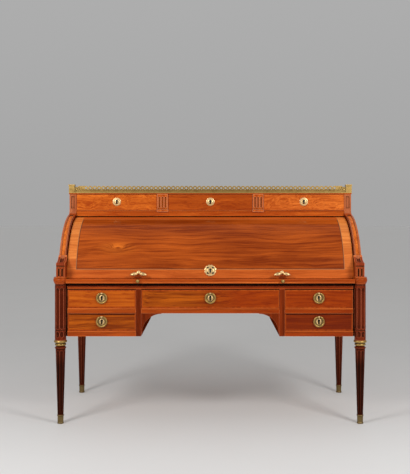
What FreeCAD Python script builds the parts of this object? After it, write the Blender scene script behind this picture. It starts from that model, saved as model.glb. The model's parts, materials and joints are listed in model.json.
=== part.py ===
import FreeCAD, Part
import math
import os
from types import SimpleNamespace

import Sketcher

Vector = FreeCAD.Vector

# Driving dimensions of the desk: alias, value in millimetres (degrees or a count where said), meaning.
# X runs along the desk, Y from the sitter to the back, Z up from the floor.
DIMENSIONS = [
    ("leg_axis_x", 775, "leg axes from the middle"),
    ("front_axis_y", -338, "axis of the front legs"),
    ("back_axis_y", 352, "axis of the back legs"),
    ("leg_top_z", 725, "top of the columns, where the table starts"),
    ("case_bottom_z", 450, "underside of the lower case"),
    ("column_radius", 29, "corner column"),
    ("taper_top_radius", 25.5, "leg under the collar"),
    ("taper_foot_radius", 15.4, "leg over the foot cap"),
    ("taper_top_z", 388, "top of the tapering leg"),
    ("foot_cap_z", 46, "height of the foot cap"),
    ("spigot_radius", 13.5, "leg inside the foot cap"),
    ("spigot_low_z", 6, "leg's end inside the foot cap"),
    ("collar_low_z", 403, "collar's lower edge"),
    ("collar_high_z", 432, "collar's upper edge"),
    ("collar_bore", 20, "leg inside the collar"),
    ("flute_count", 8, "flutes round a leg, a count"),
    ("flute_half_angle", 19.7, "half of a flute's width, seen from the leg's axis, degrees"),
    ("post_inner_x", 738, "inner face of the square post behind a column"),
    ("post_set_back", 4, "post's front face behind the leg axis"),
    ("side_inner_x", 752, "inner face of the case sides"),
    ("side_outer_x", 790, "outer face of the case sides"),
    ("side_joint_z", 740, "joint of lower and upper sides, behind the moulding"),
    ("moulding_top_z", 757, "top of the table moulding"),
    ("cap_radius", 33, "caps over the columns, without their swell"),
    ("moulding_swell", 4, "swell of the moulding"),
    ("cap_inner_x", 744.3, "flat inner face of a cap"),
    ("frame_front_y", -343, "face of the front rails and stiles"),
    ("frame_depth", 27, "depth of the front rails and stiles"),
    ("front_recess", 4, "drawer fronts behind the rails"),
    ("front_thickness", 22, "drawer fronts"),
    ("rail_bead", 3, "radius of the bead on a rail"),
    ("top_rail_low_z", 695, "top rail of the frieze"),
    ("top_rail_high_z", 711, "top of the frieze rail"),
    ("mid_rail_low_z", 569, "rail between the rows of drawers"),
    ("mid_rail_high_z", 595, "top of that rail"),
    ("bottom_rail_high_z", 477, "top of the bottom rail"),
    ("knee_half", 357, "half the kneehole's width"),
    ("stile_width", 28, "stiles beside the kneehole"),
    ("inner_side_thickness", 18, "pedestal sides towards the kneehole"),
    ("bracket_radius", 102, "hollow curve of a kneehole bracket"),
    ("bracket_tip", 3, "thickness of a bracket's tips"),
    ("lower_back_y", 326, "front of the lower back panels"),
    ("lower_back_thickness", 18, "lower back panels"),
    ("bed_front_y", -326, "front edge of the board under the slide"),
    ("bed_half", 735, "half the width of that board and of the slide"),
    ("slide_low_z", 725.5, "underside of the writing slide"),
    ("slide_top_z", 747, "top of the writing slide"),
    ("slide_front_y", -368, "front of the writing slide"),
    ("slide_edge_depth", 25, "moulded front edge of the slide"),
    ("slide_edge_half", 743.7, "half the length of that edge"),
    ("slide_back_y", 222, "back end of the slide"),
    ("leather_half", 640, "half the leather's width"),
    ("leather_front_y", -310, "front of the leather"),
    ("leather_back_y", 30, "back of the leather"),
    ("leather_thickness", 2, "leather lining"),
    ("pull_x", 372, "cylinder pulls and slide knobs from the middle"),
    ("pull_rise", 63, "seats of the cylinder pulls above the cylinder's axis"),
    ("rosette_rise", 75, "seat of the rosette above that axis"),
    ("knob_z", 738, "height of the slide knobs"),
    ("knob_reach", 20, "slide knobs stand out"),
    ("knob_radius", 8, "slide knobs"),
    ("cylinder_axis_y", 39, "axis of the cylinder"),
    ("cylinder_axis_z", 712, "axis of the cylinder"),
    ("cylinder_radius", 350, "outside of the cylinder"),
    ("cylinder_core", 22, "thickness of the cylinder's core"),
    ("veneer", 1.5, "veneers on the cylinder"),
    ("cylinder_half", 747.5, "half the cylinder's length"),
    ("cylinder_low_z", 748.2, "lower edge of the cylinder when shut"),
    ("cylinder_top_angle", 88, "upper edge of the cylinder when shut, degrees"),
    ("bottom_band_angle", 13.2, "top of the lower band, degrees"),
    ("top_band_angle", 83, "underside of the upper band, degrees"),
    ("crossband_width", 45, "side bands"),
    ("arm_inner_x", 739.5, "inner face of a pivot arm"),
    ("arm_thickness", 6, "pivot arms"),
    ("arm_angle", 47, "direction of the arm, degrees"),
    ("arm_hub_radius", 18, "hub of a pivot arm"),
    ("pin_radius", 7, "pivot pins"),
    ("pin_clearance", 0.05, "play of the pivot pins"),
    ("bush_radius", 12, "pivot bushes"),
    ("bush_length", 30, "pivot bushes"),
    ("stile_radius", 366, "curved front edge of the upper sides"),
    ("pilaster_cove", 30, "hollow between that edge and the pilaster above it"),
    ("console_reach", 54, "depth of a console"),
    ("console_block", 54, "height of a console's fluted block"),
    ("console_inner_x", 748.5, "inner face of a console"),
    ("console_width", 45, "width of a console"),
    ("console_roll", 10.5, "radius of the roll on a console"),
    ("upper_front_y", 14, "face of the upper case"),
    ("upper_back_y", 352, "inner face of the upper back panel"),
    ("upper_back_thickness", 16, "upper back panel"),
    ("side_back_y", 372, "back edge of the upper sides"),
    ("side_top_z", 1190, "top of the upper sides"),
    ("upper_rail_low_z", 1067, "rail under the upper drawers"),
    ("upper_rail_high_z", 1098, "top of that rail"),
    ("upper_floor_low_z", 1080, "board under the upper drawers"),
    ("upper_rail_depth", 30, "depth of that rail"),
    ("divider_x", 268, "triglyph dividers from the middle"),
    ("divider_half", 29.5, "half a divider's width"),
    ("top_z", 1196, "top of the top board"),
    ("top_half", 793, "half the top board's length"),
    ("top_band", 40, "framing bands round the top panel"),
    ("gallery_band", 19, "height of the gallery's moulded band"),
    ("gallery_pitch", 24.5, "rings of the gallery"),
    ("gallery_ring", 12.6, "outer radius of a ring"),
    ("gallery_hole", 5.4, "radius of a ring's opening"),
    ("gallery_ring_z", 1224, "centres of the rings"),
    ("gallery_plate", 3, "thickness of the pierced gallery"),
    ("gallery_scroll", 13, "radius of the round scrolls beside the posts"),
    ("post_width", 31, "corner posts of the gallery"),
    ("post_high_z", 1238, "posts without their caps"),
    ("frieze_key_z", 648, "keyholes of the frieze drawers"),
    ("lower_key_z", 526, "keyholes of the lower drawers"),
    ("upper_key_z", 1147, "keyholes of the upper drawers"),
    ("ring_radius", 25.2, "pull rings, at the middle of the metal"),
    ("ring_section", 3.3, "radius of the metal of a pull ring"),
    ("ring_stand", 6.5, "ring's plane in front of the drawer"),
    ("ring_hinge_rise", 24.2, "hinge above the ring's centre"),
    ("hinge_radius", 2.6, "straight journal of a pull ring"),
    ("wall", 11, "drawer sides"),
    ("board", 7, "drawer bottoms and thin boards"),
    ("gap", 0.7, "play round a drawer front"),
    ("case_front_y", 45, "face of the fitted interior"),
    ("case_back_y", 255, "back of the fitted interior"),
    ("case_half", 733, "half the fitted interior's width"),
    ("case_base_z", 758, "floor of the fitted interior"),
    ("case_shelf_z", 830, "shelf under the pigeonholes"),
    ("case_top_z", 940, "top of the fitted interior"),
    ("case_board", 8, "thin boards of the fitted interior"),
    ("case_end", 12, "end boards and top of the fitted interior"),
    ("cupboard_half", 232, "half the open middle of the fitted interior"),
]


class Size:
    """A length or angle: its number now, and the sheet formula that keeps it current."""

    def __init__(self, number, formula):
        self.number = float(number)
        self.formula = formula

    def __add__(self, other):
        other = as_size(other)
        return Size(self.number + other.number, f"({self.formula} + {other.formula})")

    def __sub__(self, other):
        other = as_size(other)
        return Size(self.number - other.number, f"({self.formula} - {other.formula})")

    def __mul__(self, other):
        other = as_size(other)
        return Size(self.number * other.number, f"({self.formula} * {other.formula})")

    def __truediv__(self, other):
        other = as_size(other)
        return Size(self.number / other.number, f"({self.formula} / {other.formula})")

    def __neg__(self):
        return Size(-self.number, f"(0 - {self.formula})")

    def __radd__(self, other):
        return as_size(other) + self

    def __rsub__(self, other):
        return as_size(other) - self

    def __rmul__(self, other):
        return as_size(other) * self

    def __rtruediv__(self, other):
        return as_size(other) / self


def as_size(value):
    return value if isinstance(value, Size) else Size(value, f"{value:.4f}")


def root(value):
    return Size(math.sqrt(value.number), f"sqrt({value.formula})")


def cosine(angle):
    return Size(math.cos(math.radians(angle.number)), f"cos({angle.formula})")


def sine(angle):
    return Size(math.sin(math.radians(angle.number)), f"sin({angle.formula})")


document = FreeCAD.newDocument("cylinder_desk")
sheet = document.addObject("Spreadsheet::Sheet", "Sizes")
for row, (alias, value, meaning) in enumerate(DIMENSIONS, start=1):
    sheet.set(f"A{row}", meaning)
    sheet.set(f"B{row}", str(value))
    sheet.setAlias(f"B{row}", alias)
document.recompute()
dim = SimpleNamespace(**{alias: Size(value, f"Sizes.{alias}") for alias, value, _ in DIMENSIONS})
nodes = []


# Helpers for placing and drawing


def bind(thing, path, size):
    thing.setExpression(path, as_size(size).formula)


def place(thing, x=0, y=0, z=0, rotation=None):
    """Put a piece at a driven place, turned as given."""
    if rotation is not None:
        thing.Placement = FreeCAD.Placement(Vector(0, 0, 0), rotation)
    for axis, size in zip("xyz", (x, y, z)):
        bind(thing, f"Placement.Base.{axis}", size)
    return thing


def node(thing, label):
    """Hand a finished piece in under the name of its file."""
    thing.Label = label
    nodes.append(thing)
    return thing


def plank(name, x, y, z):
    """A board between two driven places along each axis."""
    box = document.addObject("Part::Box", name)
    for edge, (low, high) in zip(("Length", "Width", "Height"), (x, y, z)):
        bind(box, edge, as_size(high) - low)
    return place(box, *(low for low, high in (x, y, z)))


def both_ways(half):
    return (-half, half)


def mirrored(name, source, normal=Vector(1, 0, 0), base_y=0):
    """The same piece on the other side of the desk's middle, or of a plane across its depth."""
    copy = document.addObject("Part::Mirroring", name)
    copy.Source = source
    copy.Normal = normal
    bind(copy, "Base.y", base_y)
    return copy


def pair(name, right):
    return [right, mirrored(name + "_left_copy", right)]


def group(name, members):
    """Separate solids that share one name."""
    together = document.addObject("Part::Compound", name)
    together.Links = members
    return together


def fused(name, members):
    joined = document.addObject("Part::MultiFuse", name)
    joined.Shapes = members
    return joined


def cut(name, base, tool):
    result = document.addObject("Part::Cut", name)
    result.Base = base
    result.Tool = tool
    return result


def corner(x, y, centre=None, anticlockwise=True):
    """An outline's corner; with a centre, the way to it from the corner before is an arc."""
    if centre is not None:
        centre = tuple(as_size(part) for part in centre)
    return SimpleNamespace(x=as_size(x), y=as_size(y), centre=centre, anticlockwise=anticlockwise)


def rectangle(x, y):
    return [corner(x[0], y[0]), corner(x[1], y[0]), corner(x[1], y[1]), corner(x[0], y[1])]


def origin_part(body, role):
    return next(part for part in body.Origin.OriginFeatures if part.Role == role)


def drive(sketch, index, position, x=None, y=None):
    """Tie a point of the sketch to driven distances from its origin."""
    for kind, size in (("DistanceX", x), ("DistanceY", y)):
        if size is not None:
            held = sketch.addConstraint(Sketcher.Constraint(kind, -1, 1, index, position, size.number))
            bind(sketch, f"Constraints[{held}]", size)


def draw(sketch, corners):
    """Draw a closed outline of lines and arcs, every corner and centre driven."""
    sides = []
    for start, end in zip(corners[-1:] + corners[:-1], corners):
        first = Vector(start.x.number, start.y.number, 0)
        last = Vector(end.x.number, end.y.number, 0)
        if end.centre is None:
            index = sketch.addGeometry(Part.LineSegment(first, last), False)
            sides.append((index, 1, 2))
            continue
        centre = Vector(end.centre[0].number, end.centre[1].number, 0)
        arms = [first - centre, last - centre]
        if not end.anticlockwise:
            arms.reverse()
        angles = [math.atan2(arm.y, arm.x) for arm in arms]
        circle = Part.Circle(centre, Vector(0, 0, 1), arms[0].Length)
        index = sketch.addGeometry(Part.ArcOfCircle(circle, *angles), False)
        sides.append((index, 1, 2) if end.anticlockwise else (index, 2, 1))
    for before, after in zip(sides[-1:] + sides[:-1], sides):
        sketch.addConstraint(Sketcher.Constraint("Coincident", before[0], before[2], after[0], after[1]))
    for (index, _, end_position), start, end in zip(sides, corners[-1:] + corners[:-1], corners):
        drive(sketch, index, end_position, end.x, end.y)
        if end.centre is not None:
            level = abs(end.x.number - start.x.number) > abs(end.y.number - start.y.number)
            held = {"y": end.centre[1]} if level else {"x": end.centre[0]}
            drive(sketch, index, 3, **held)


def new_sketch(body, name, plane, offset=(0, 0, 0), lean=0.0, turn=0.0):
    """A sketch on one of a body's planes, moved, turned about its upright and leant in its own plane."""
    sketch = body.newObject("Sketcher::SketchObject", name)
    sketch.AttachmentSupport = [(origin_part(body, plane), "")]
    sketch.MapMode = "FlatFace"
    turning = FreeCAD.Rotation(Vector(0, 1, 0), turn)
    leaning = FreeCAD.Rotation(Vector(0, 0, 1), lean)
    sketch.AttachmentOffset = FreeCAD.Placement(Vector(0, 0, 0), turning.multiply(leaning))
    for axis, size in zip("xyz", offset):
        bind(sketch, f"AttachmentOffset.Base.{axis}", size)
    return sketch


def outline(body, name, plane, corners, offset=(0, 0, 0)):
    sketch = new_sketch(body, name, plane, offset)
    draw(sketch, corners)
    return sketch


def ring_outline(body, name, plane, x, y, radius, offset=(0, 0, 0)):
    """A sketch of one driven circle."""
    sketch = new_sketch(body, name, plane, offset)
    x, y, radius = as_size(x), as_size(y), as_size(radius)
    circle = Part.Circle(Vector(x.number, y.number, 0), Vector(0, 0, 1), radius.number)
    index = sketch.addGeometry(circle, False)
    drive(sketch, index, 3, x, y)
    held = sketch.addConstraint(Sketcher.Constraint("Radius", index, radius.number))
    bind(sketch, f"Constraints[{held}]", radius)
    return sketch


def feature(body, kind, name, sketch, length=None, reverse=False):
    """Add or take away what a sketch outlines: a pad or pocket with a length, or a full turn without one."""
    made = body.newObject("PartDesign::" + kind, name)
    made.Profile = sketch
    if length is None:
        made.ReferenceAxis = (sketch, ["V_Axis"])
        made.Angle = 360
    else:
        bind(made, "Length", length)
        made.Reversed = reverse
    body.Tip = made
    return made


def new_body(name):
    return document.addObject("PartDesign::Body", name)


def turned(name, corners):
    """A piece turned on a lathe: half its outline in X and Z, spun round Z."""
    body = new_body(name)
    feature(body, "Revolution", name + "_turning", outline(body, name + "_half", "XZ_Plane", corners))
    return body


def padded(name, plane, corners, length, reverse=False):
    """A piece of one section and a length."""
    body = new_body(name)
    feature(body, "Pad", name + "_pad", outline(body, name + "_section", plane, corners), length, reverse)
    return body


def flute(body, name, offset, length, low_radius, high_radius, lean=0.0, turn=0.0):
    """Cut one round-ended flute whose axis starts at the offset and leans and turns as given."""
    sketch = new_sketch(body, name + "_half", "XZ_Plane", offset, lean, turn)
    length, low, high = as_size(length), as_size(low_radius), as_size(high_radius)
    draw(
        sketch,
        [
            corner(0, -low),
            corner(low, 0, (0, 0)),
            corner(high, length),
            corner(0, length + high, (0, length)),
        ],
    )
    return feature(body, "Groove", name, sketch)


def round_and_round(body, name, original, count):
    pattern = body.newObject("PartDesign::PolarPattern", name)
    pattern.Originals = [original]
    pattern.Axis = (origin_part(body, "Z_Axis"), [""])
    pattern.Angle = 360
    bind(pattern, "Occurrences", count)
    body.Tip = pattern
    return pattern


def in_a_row(body, name, originals, length, count):
    pattern = body.newObject("PartDesign::LinearPattern", name)
    pattern.Originals = originals
    pattern.Direction = (origin_part(body, "X_Axis"), [""])
    bind(pattern, "Length", length)
    bind(pattern, "Occurrences", count)
    body.Tip = pattern
    return pattern


def four_corners(name, right_front):
    """A piece at a front leg, and its copies at the other three."""
    middle_y = (dim.front_axis_y + dim.back_axis_y) / 2
    right_back = mirrored(name + "_back", right_front, Vector(0, 1, 0), middle_y)
    return pair(name, right_front) + pair(name + "_back", right_back)


FACE_FORWARD = FreeCAD.Rotation(Vector(1, 0, 0), 90)


# Legs, collars and foot caps

COLUMN_LINE = 1.5
COLUMN_FLUTE_DEPTH = 5.2
FOOT_FLUTE_DEPTH = 2.6
KNEE_FLUTE_DEPTH = 4.2


def flute_circle(leg_radius, depth):
    """Section radius of a flute cut into a leg, and its centre's distance from the leg's axis."""
    half_width = sine(dim.flute_half_angle) * leg_radius
    rise = cosine(dim.flute_half_angle) * leg_radius - leg_radius + depth
    section = (half_width * half_width + rise * rise) / (rise * 2)
    return section, leg_radius + section - depth


def ring_of_flutes(body, name, low, high):
    """Flutes round a leg, a ridge to the front; each end is a height, the leg's radius and a depth."""
    low_section, low_out = flute_circle(*low[1:])
    high_section, high_out = flute_circle(*high[1:])
    rise, spread = high[0] - low[0], high_out - low_out
    half_pitch = 180 / dim.flute_count
    one = flute(
        body,
        name,
        (low_out * cosine(half_pitch), low[0], -(low_out * sine(half_pitch))),
        root(rise * rise + spread * spread),
        low_section,
        high_section,
        lean=-math.degrees(math.atan2(spread.number, rise.number)),
        turn=half_pitch.number,
    )
    round_and_round(body, name + "_ring", one, dim.flute_count)


def scored_line(z):
    """A fine turned line round the column at the height z."""
    inner = dim.column_radius - COLUMN_LINE
    return [
        corner(dim.column_radius, z),
        corner(inner, z + COLUMN_LINE),
        corner(inner, z + COLUMN_LINE * 2),
        corner(dim.column_radius, z + COLUMN_LINE * 3),
    ]


def legs():
    """One turned and fluted leg with its post, and its three mirrored fellows."""
    bead = 4
    bead_top = dim.taper_top_z + 2 * bead
    half = [
        corner(0, dim.spigot_low_z),
        corner(dim.spigot_radius, dim.spigot_low_z),
        corner(dim.spigot_radius, dim.foot_cap_z),
        corner(dim.taper_foot_radius, dim.foot_cap_z),
        corner(dim.taper_top_radius, dim.taper_top_z),
        corner(dim.taper_top_radius, bead_top, (dim.taper_top_radius, dim.taper_top_z + bead)),
        corner(dim.collar_bore, dim.collar_low_z),
        corner(dim.collar_bore, dim.collar_high_z),
        corner(dim.column_radius, dim.collar_high_z),
        *scored_line(dim.collar_high_z + 50),
        *scored_line(dim.leg_top_z - 11),
        corner(dim.column_radius, dim.leg_top_z),
        corner(0, dim.leg_top_z),
    ]
    body = turned("front_leg_right", half)
    column = (dim.column_radius, COLUMN_FLUTE_DEPTH)
    shaft = (dim.collar_high_z + 70, dim.leg_top_z - 34)
    plinth = (dim.collar_high_z + 26, dim.collar_high_z + 34)
    for name, (low_z, high_z) in (("column_flutes", shaft), ("plinth_flutes", plinth)):
        ring_of_flutes(body, name, (low_z, *column), (high_z, *column))
    slope = (dim.taper_top_radius - dim.taper_foot_radius) / (dim.taper_top_z - dim.foot_cap_z)
    low_end, high_end = 19, 20
    ring_of_flutes(
        body,
        "taper_flutes",
        (dim.foot_cap_z + low_end, dim.taper_foot_radius + slope * low_end, FOOT_FLUTE_DEPTH),
        (dim.taper_top_z - high_end, dim.taper_top_radius - slope * high_end, KNEE_FLUTE_DEPTH),
    )
    post = outline(
        body,
        "post_section",
        "XY_Plane",
        rectangle(
            (dim.post_inner_x - dim.leg_axis_x, dim.side_outer_x - dim.leg_axis_x),
            (dim.post_set_back, dim.column_radius),
        ),
        (0, 0, dim.case_bottom_z),
    )
    feature(body, "Pad", "post", post, dim.leg_top_z - dim.case_bottom_z)
    place(body, dim.leg_axis_x, dim.front_axis_y)
    names = ("front_leg_right", "front_leg_left", "back_leg_right", "back_leg_left")
    for leg, label in zip(four_corners("leg", body), names):
        node(leg, label)


def collars():
    """Brass double rings between leg and column."""
    low, high = dim.collar_low_z, dim.collar_high_z
    small, large = 5.5, 7.25
    lower, waist, upper = 23.5, 24.5, 26.25
    half = [
        corner(dim.collar_bore, low),
        corner(lower, low),
        corner(lower, low + 2 * small, (lower, low + small)),
        corner(waist, low + 2 * small),
        corner(waist, high - 2 * large),
        corner(upper, high - 2 * large),
        corner(upper, high, (upper, high - large)),
        corner(dim.collar_bore, high),
    ]
    body = place(turned("leg_collar", half), dim.leg_axis_x, dim.front_axis_y)
    node(group("collars", four_corners("leg_collar", body)), "leg_collars")


def foot_caps():
    """Brass cups on the leg ends, rimmed above and below."""
    rim, foot, waist = 4, 16.5, 15
    lip = dim.taper_foot_radius
    half = [
        corner(0, 0),
        corner(foot, 0),
        corner(foot, 5),
        corner(waist, 8),
        corner(lip, dim.foot_cap_z - 2 * rim),
        corner(lip, dim.foot_cap_z, (lip - 2, dim.foot_cap_z - rim)),
        corner(dim.spigot_radius, dim.foot_cap_z),
        corner(dim.spigot_radius, dim.spigot_low_z),
        corner(0, dim.spigot_low_z),
    ]
    body = place(turned("leg_sabot", half), dim.leg_axis_x, dim.front_axis_y)
    node(group("sabots", four_corners("leg_sabot", body)), "leg_sabots")


# Lower case


def lower_sides():
    """Panelled sides between the legs, with a seat for the pivot bush."""
    thickness = dim.side_outer_x - dim.side_inner_x
    y = (dim.front_axis_y + dim.column_radius, dim.back_axis_y - dim.column_radius)
    z = (dim.case_bottom_z, dim.side_joint_z)
    body = padded("lower_right_side", "YZ_Plane", rectangle(y, z), thickness)
    margin = 45
    panel = rectangle((y[0] + margin, y[1] - margin), (z[0] + margin, dim.leg_top_z - margin))
    field = outline(body, "lower_side_field", "YZ_Plane", panel, (0, 0, thickness))
    feature(body, "Pocket", "lower_side_panel", field, 6)
    seat = ring_outline(
        body, "bush_circle", "YZ_Plane", dim.cylinder_axis_y, dim.cylinder_axis_z, dim.bush_radius
    )
    feature(body, "Pocket", "bush_seat", seat, dim.bush_length, reverse=True)
    place(body, dim.side_inner_x)
    node(body, "lower_right_side")
    node(mirrored("lower_left", body), "lower_left_side")


def beaded_rail(name, x, front_y, depth, z):
    """A rail with a half-round bead along its upper front edge."""
    bead = dim.rail_bead
    section = [
        corner(front_y, z[0]),
        corner(front_y + depth, z[0]),
        corner(front_y + depth, z[1]),
        corner(front_y, z[1]),
        corner(front_y, z[1] - bead * 2, (front_y, z[1] - bead)),
    ]
    body = padded(name, "YZ_Plane", section, as_size(x[1]) - x[0])
    return place(body, x[0])


def front_frame():
    """Rails, stiles and hollow brackets round the drawers and the kneehole."""
    front, depth = dim.frame_front_y, dim.frame_depth
    stile_outer = dim.knee_half + dim.stile_width
    middle_z = (dim.mid_rail_low_z, dim.mid_rail_high_z)
    pedestal_x = (stile_outer, dim.post_inner_x)
    top_z = (dim.top_rail_low_z, dim.top_rail_high_z)
    rails = [
        beaded_rail("top_rail", both_ways(dim.post_inner_x), front, depth, top_z),
        beaded_rail("knee_rail", both_ways(dim.knee_half), front, depth, middle_z),
    ]
    rails += pair("middle_rail", beaded_rail("middle_rail", pedestal_x, front, depth, middle_z))
    bottom_z = (dim.case_bottom_z, dim.bottom_rail_high_z)
    rails += pair("bottom_rail", beaded_rail("bottom_rail", pedestal_x, front, depth, bottom_z))
    node(group("rails", rails), "front_rails")
    stile = plank(
        "stile",
        (dim.knee_half, stile_outer),
        (front, front + depth),
        (dim.case_bottom_z, dim.top_rail_low_z),
    )
    node(group("stiles", pair("stile", stile)), "front_stiles")
    tip, hollow = dim.bracket_tip, dim.bracket_radius
    inner, top = dim.knee_half - tip - hollow, dim.mid_rail_low_z
    centre = (inner, top - tip - hollow)
    section = [
        corner(inner, top - tip),
        corner(dim.knee_half - tip, centre[1], centre, anticlockwise=False),
        corner(dim.knee_half, centre[1]),
        corner(dim.knee_half, top),
        corner(inner, top),
    ]
    bracket = place(padded("bracket", "XZ_Plane", section, 20, reverse=True), 0, front + 2)
    node(group("brackets", pair("bracket", bracket)), "kneehole_brackets")


def pedestals():
    """Inner sides, floors, runners and backs behind the front frame."""
    behind = dim.frame_front_y + dim.frame_depth
    depth_y = (behind, dim.lower_back_y)
    inner_x = (dim.knee_half, dim.knee_half + dim.inner_side_thickness)
    inner = plank("inner_side", inner_x, depth_y, (dim.case_bottom_z, dim.top_rail_high_z))
    node(group("inner_sides", pair("inner_side", inner)), "pedestal_inner_sides")
    floor_top = dim.case_bottom_z + 12
    floor = plank("floor", (inner_x[1], dim.post_inner_x), depth_y, (dim.case_bottom_z, floor_top))
    node(group("floors", pair("floor", floor)), "pedestal_floors")
    clear_y = (
        dim.front_axis_y + dim.column_radius,
        dim.back_axis_y - dim.column_radius,
    )
    runners = []
    rows = ((floor_top, dim.bottom_rail_high_z + 1), (dim.mid_rail_high_z - 15, dim.mid_rail_high_z + 1))
    for row_name, row_z in zip(("low", "high"), rows):
        beside_knee = plank(f"{row_name}_inner_runner", (inner_x[1], inner_x[1] + 24), depth_y, row_z)
        outer_x = (dim.side_inner_x - 28, dim.side_inner_x)
        beside_leg = plank(f"{row_name}_outer_runner", outer_x, clear_y, row_z)
        runners += pair(f"{row_name}_inner_runner", beside_knee)
        runners += pair(f"{row_name}_outer_runner", beside_leg)
    knee = plank("knee_runner", (dim.knee_half - 20, dim.knee_half), depth_y, rows[1])
    runners += pair("knee_runner", knee)
    node(group("runners", runners), "drawer_runners")
    back_y = (dim.lower_back_y, dim.lower_back_y + dim.lower_back_thickness)
    backs = [
        back_panel("knee_back", both_ways(dim.knee_half), back_y, (dim.mid_rail_low_z, dim.leg_top_z))
    ]
    side_back_x = (dim.knee_half, dim.post_inner_x)
    side_back = back_panel("side_back", side_back_x, back_y, (dim.case_bottom_z, dim.leg_top_z))
    backs += pair("side_back", side_back)
    node(group("backs", backs), "lower_back_panels")


def back_panel(name, x, y, z):
    """A back board with a sunken field."""
    thickness = y[1] - y[0]
    body = padded(name, "XZ_Plane", rectangle(x, z), thickness, reverse=True)
    margin = 35
    inside = rectangle((x[0] + margin, x[1] - margin), (z[0] + margin, z[1] - margin))
    field = outline(body, name + "_field", "XZ_Plane", inside, (0, 0, -thickness))
    feature(body, "Pocket", name + "_sunk_field", field, 5, reverse=True)
    return place(body, 0, y[0])


# Table level


def table():
    """Board under the slide, slide guides, caps over the columns and side mouldings."""
    bed = plank(
        "bed",
        both_ways(dim.bed_half),
        (dim.bed_front_y, dim.lower_back_y),
        (dim.top_rail_high_z, dim.slide_low_z - 1),
    )
    guide_x = (dim.bed_half + 2, dim.side_inner_x)
    guide_z = (dim.slide_low_z - 1, dim.slide_top_z)
    arm_room = 55
    front_guide = plank(
        "front_guide",
        guide_x,
        (dim.front_axis_y + dim.column_radius, dim.cylinder_axis_y - arm_room - 12),
        guide_z,
    )
    back_guide = plank(
        "back_guide",
        guide_x,
        (dim.cylinder_axis_y + arm_room, dim.back_axis_y - dim.column_radius),
        (guide_z[0], dim.case_base_z - 10),
    )
    members = [bed] + pair("front_guide", front_guide) + pair("back_guide", back_guide)
    node(group("bed_and_guides", members), "table_bed")
    low, high = dim.leg_top_z, dim.moulding_top_z
    fillet, swell, half_height = 4, dim.moulding_swell, 12
    swell_radius = (half_height * half_height + swell * swell) / (swell * 2)
    middle_z = (low + high) / 2

    def edge(radius):
        centre = (radius + swell - swell_radius, middle_z)
        return [
            corner(radius, low),
            corner(radius, low + fillet),
            corner(radius, high - fillet, centre),
            corner(radius + 1.5, high - fillet),
            corner(radius + 1.5, high),
        ]

    disc = turned("cap_disc", [corner(0, low), *edge(dim.cap_radius), corner(0, high)])
    place(disc, dim.leg_axis_x, dim.front_axis_y)
    reach = dim.cap_radius * 2
    beside = plank(
        "cap_inner_waste",
        (dim.cap_inner_x - reach, dim.cap_inner_x),
        (dim.front_axis_y - reach, dim.front_axis_y + reach),
        (low - 1, high + 1),
    )
    behind = plank(
        "cap_back_waste",
        (dim.leg_axis_x - reach, dim.leg_axis_x + reach),
        (dim.front_axis_y + dim.column_radius, dim.front_axis_y + reach),
        (low - 1, high + 1),
    )
    cap = cut("column_cap", disc, fused("cap_waste", [beside, behind]))
    section = [corner(dim.side_outer_x, low), *edge(dim.side_outer_x + 6), corner(dim.side_outer_x, high)]
    run = (dim.back_axis_y - dim.column_radius) - (dim.front_axis_y + dim.column_radius)
    strip = padded("side_strip", "XZ_Plane", section, run, reverse=True)
    place(strip, 0, dim.front_axis_y + dim.column_radius)
    back_face = dim.upper_back_y + dim.upper_back_thickness - 2
    back_section = [corner(dim.lower_back_y, low), *edge(back_face), corner(dim.lower_back_y, high)]
    back_strip = padded("back_strip", "YZ_Plane", back_section, dim.cap_inner_x * 2)
    place(back_strip, -dim.cap_inner_x)
    mouldings = four_corners("column_cap", cap) + pair("side_strip", strip) + [back_strip]
    node(group("mouldings", mouldings), "table_moulding")


def writing_slide():
    """Board with a moulded front edge, a sunk leather and two knobs."""
    z = (dim.slide_low_z, dim.slide_top_z)
    edge_back = dim.slide_front_y + dim.slide_edge_depth
    board = plank("slide_board", both_ways(dim.bed_half), (edge_back, dim.slide_back_y), z)
    leather = plank(
        "leather",
        both_ways(dim.leather_half),
        (dim.leather_front_y, dim.leather_back_y),
        (dim.slide_top_z - dim.leather_thickness, dim.slide_top_z),
    )
    lined_board = cut("lined_board", board, leather)
    bead, step = 3.5, 1.5
    front = dim.slide_front_y
    bead_top = z[0] + 2 * bead
    section = [
        corner(edge_back, z[0]),
        corner(edge_back, z[1]),
        corner(front + step, z[1]),
        corner(front + step, bead_top),
        corner(front + bead, bead_top),
        corner(front + bead, z[0], (front + bead, z[0] + bead)),
    ]
    edge = padded("slide_edge", "YZ_Plane", section, dim.slide_edge_half * 2)
    place(edge, -dim.slide_edge_half)
    node(group("slide_pieces", [lined_board, edge]), "writing_slide")
    node(leather, "writing_leather")
    reach, knob = dim.knob_reach, dim.knob_radius
    crown = 6.5
    shoulder = reach - crown
    crown_centre = reach - (crown * crown + knob * knob) / (2 * crown)
    half = [
        corner(0, -step),
        corner(5, -step),
        corner(5, 1.5),
        corner(3.2, 4),
        corner(3.2, 7),
        corner(knob - 2, shoulder - 4),
        corner(knob, shoulder),
        corner(0, reach, (0, crown_centre)),
    ]
    turned_knob = turned("slide_knob", half)
    place(turned_knob, dim.pull_x, dim.slide_front_y, dim.knob_z, FACE_FORWARD)
    node(group("knobs", pair("slide_knob", turned_knob)), "slide_knobs")


# Upper case


def on_circle(radius, angle):
    """A place in Y and Z on a circle round the cylinder's axis; the angle rises from the front."""
    return (
        dim.cylinder_axis_y - cosine(angle) * radius,
        dim.cylinder_axis_z + sine(angle) * radius,
    )


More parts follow.
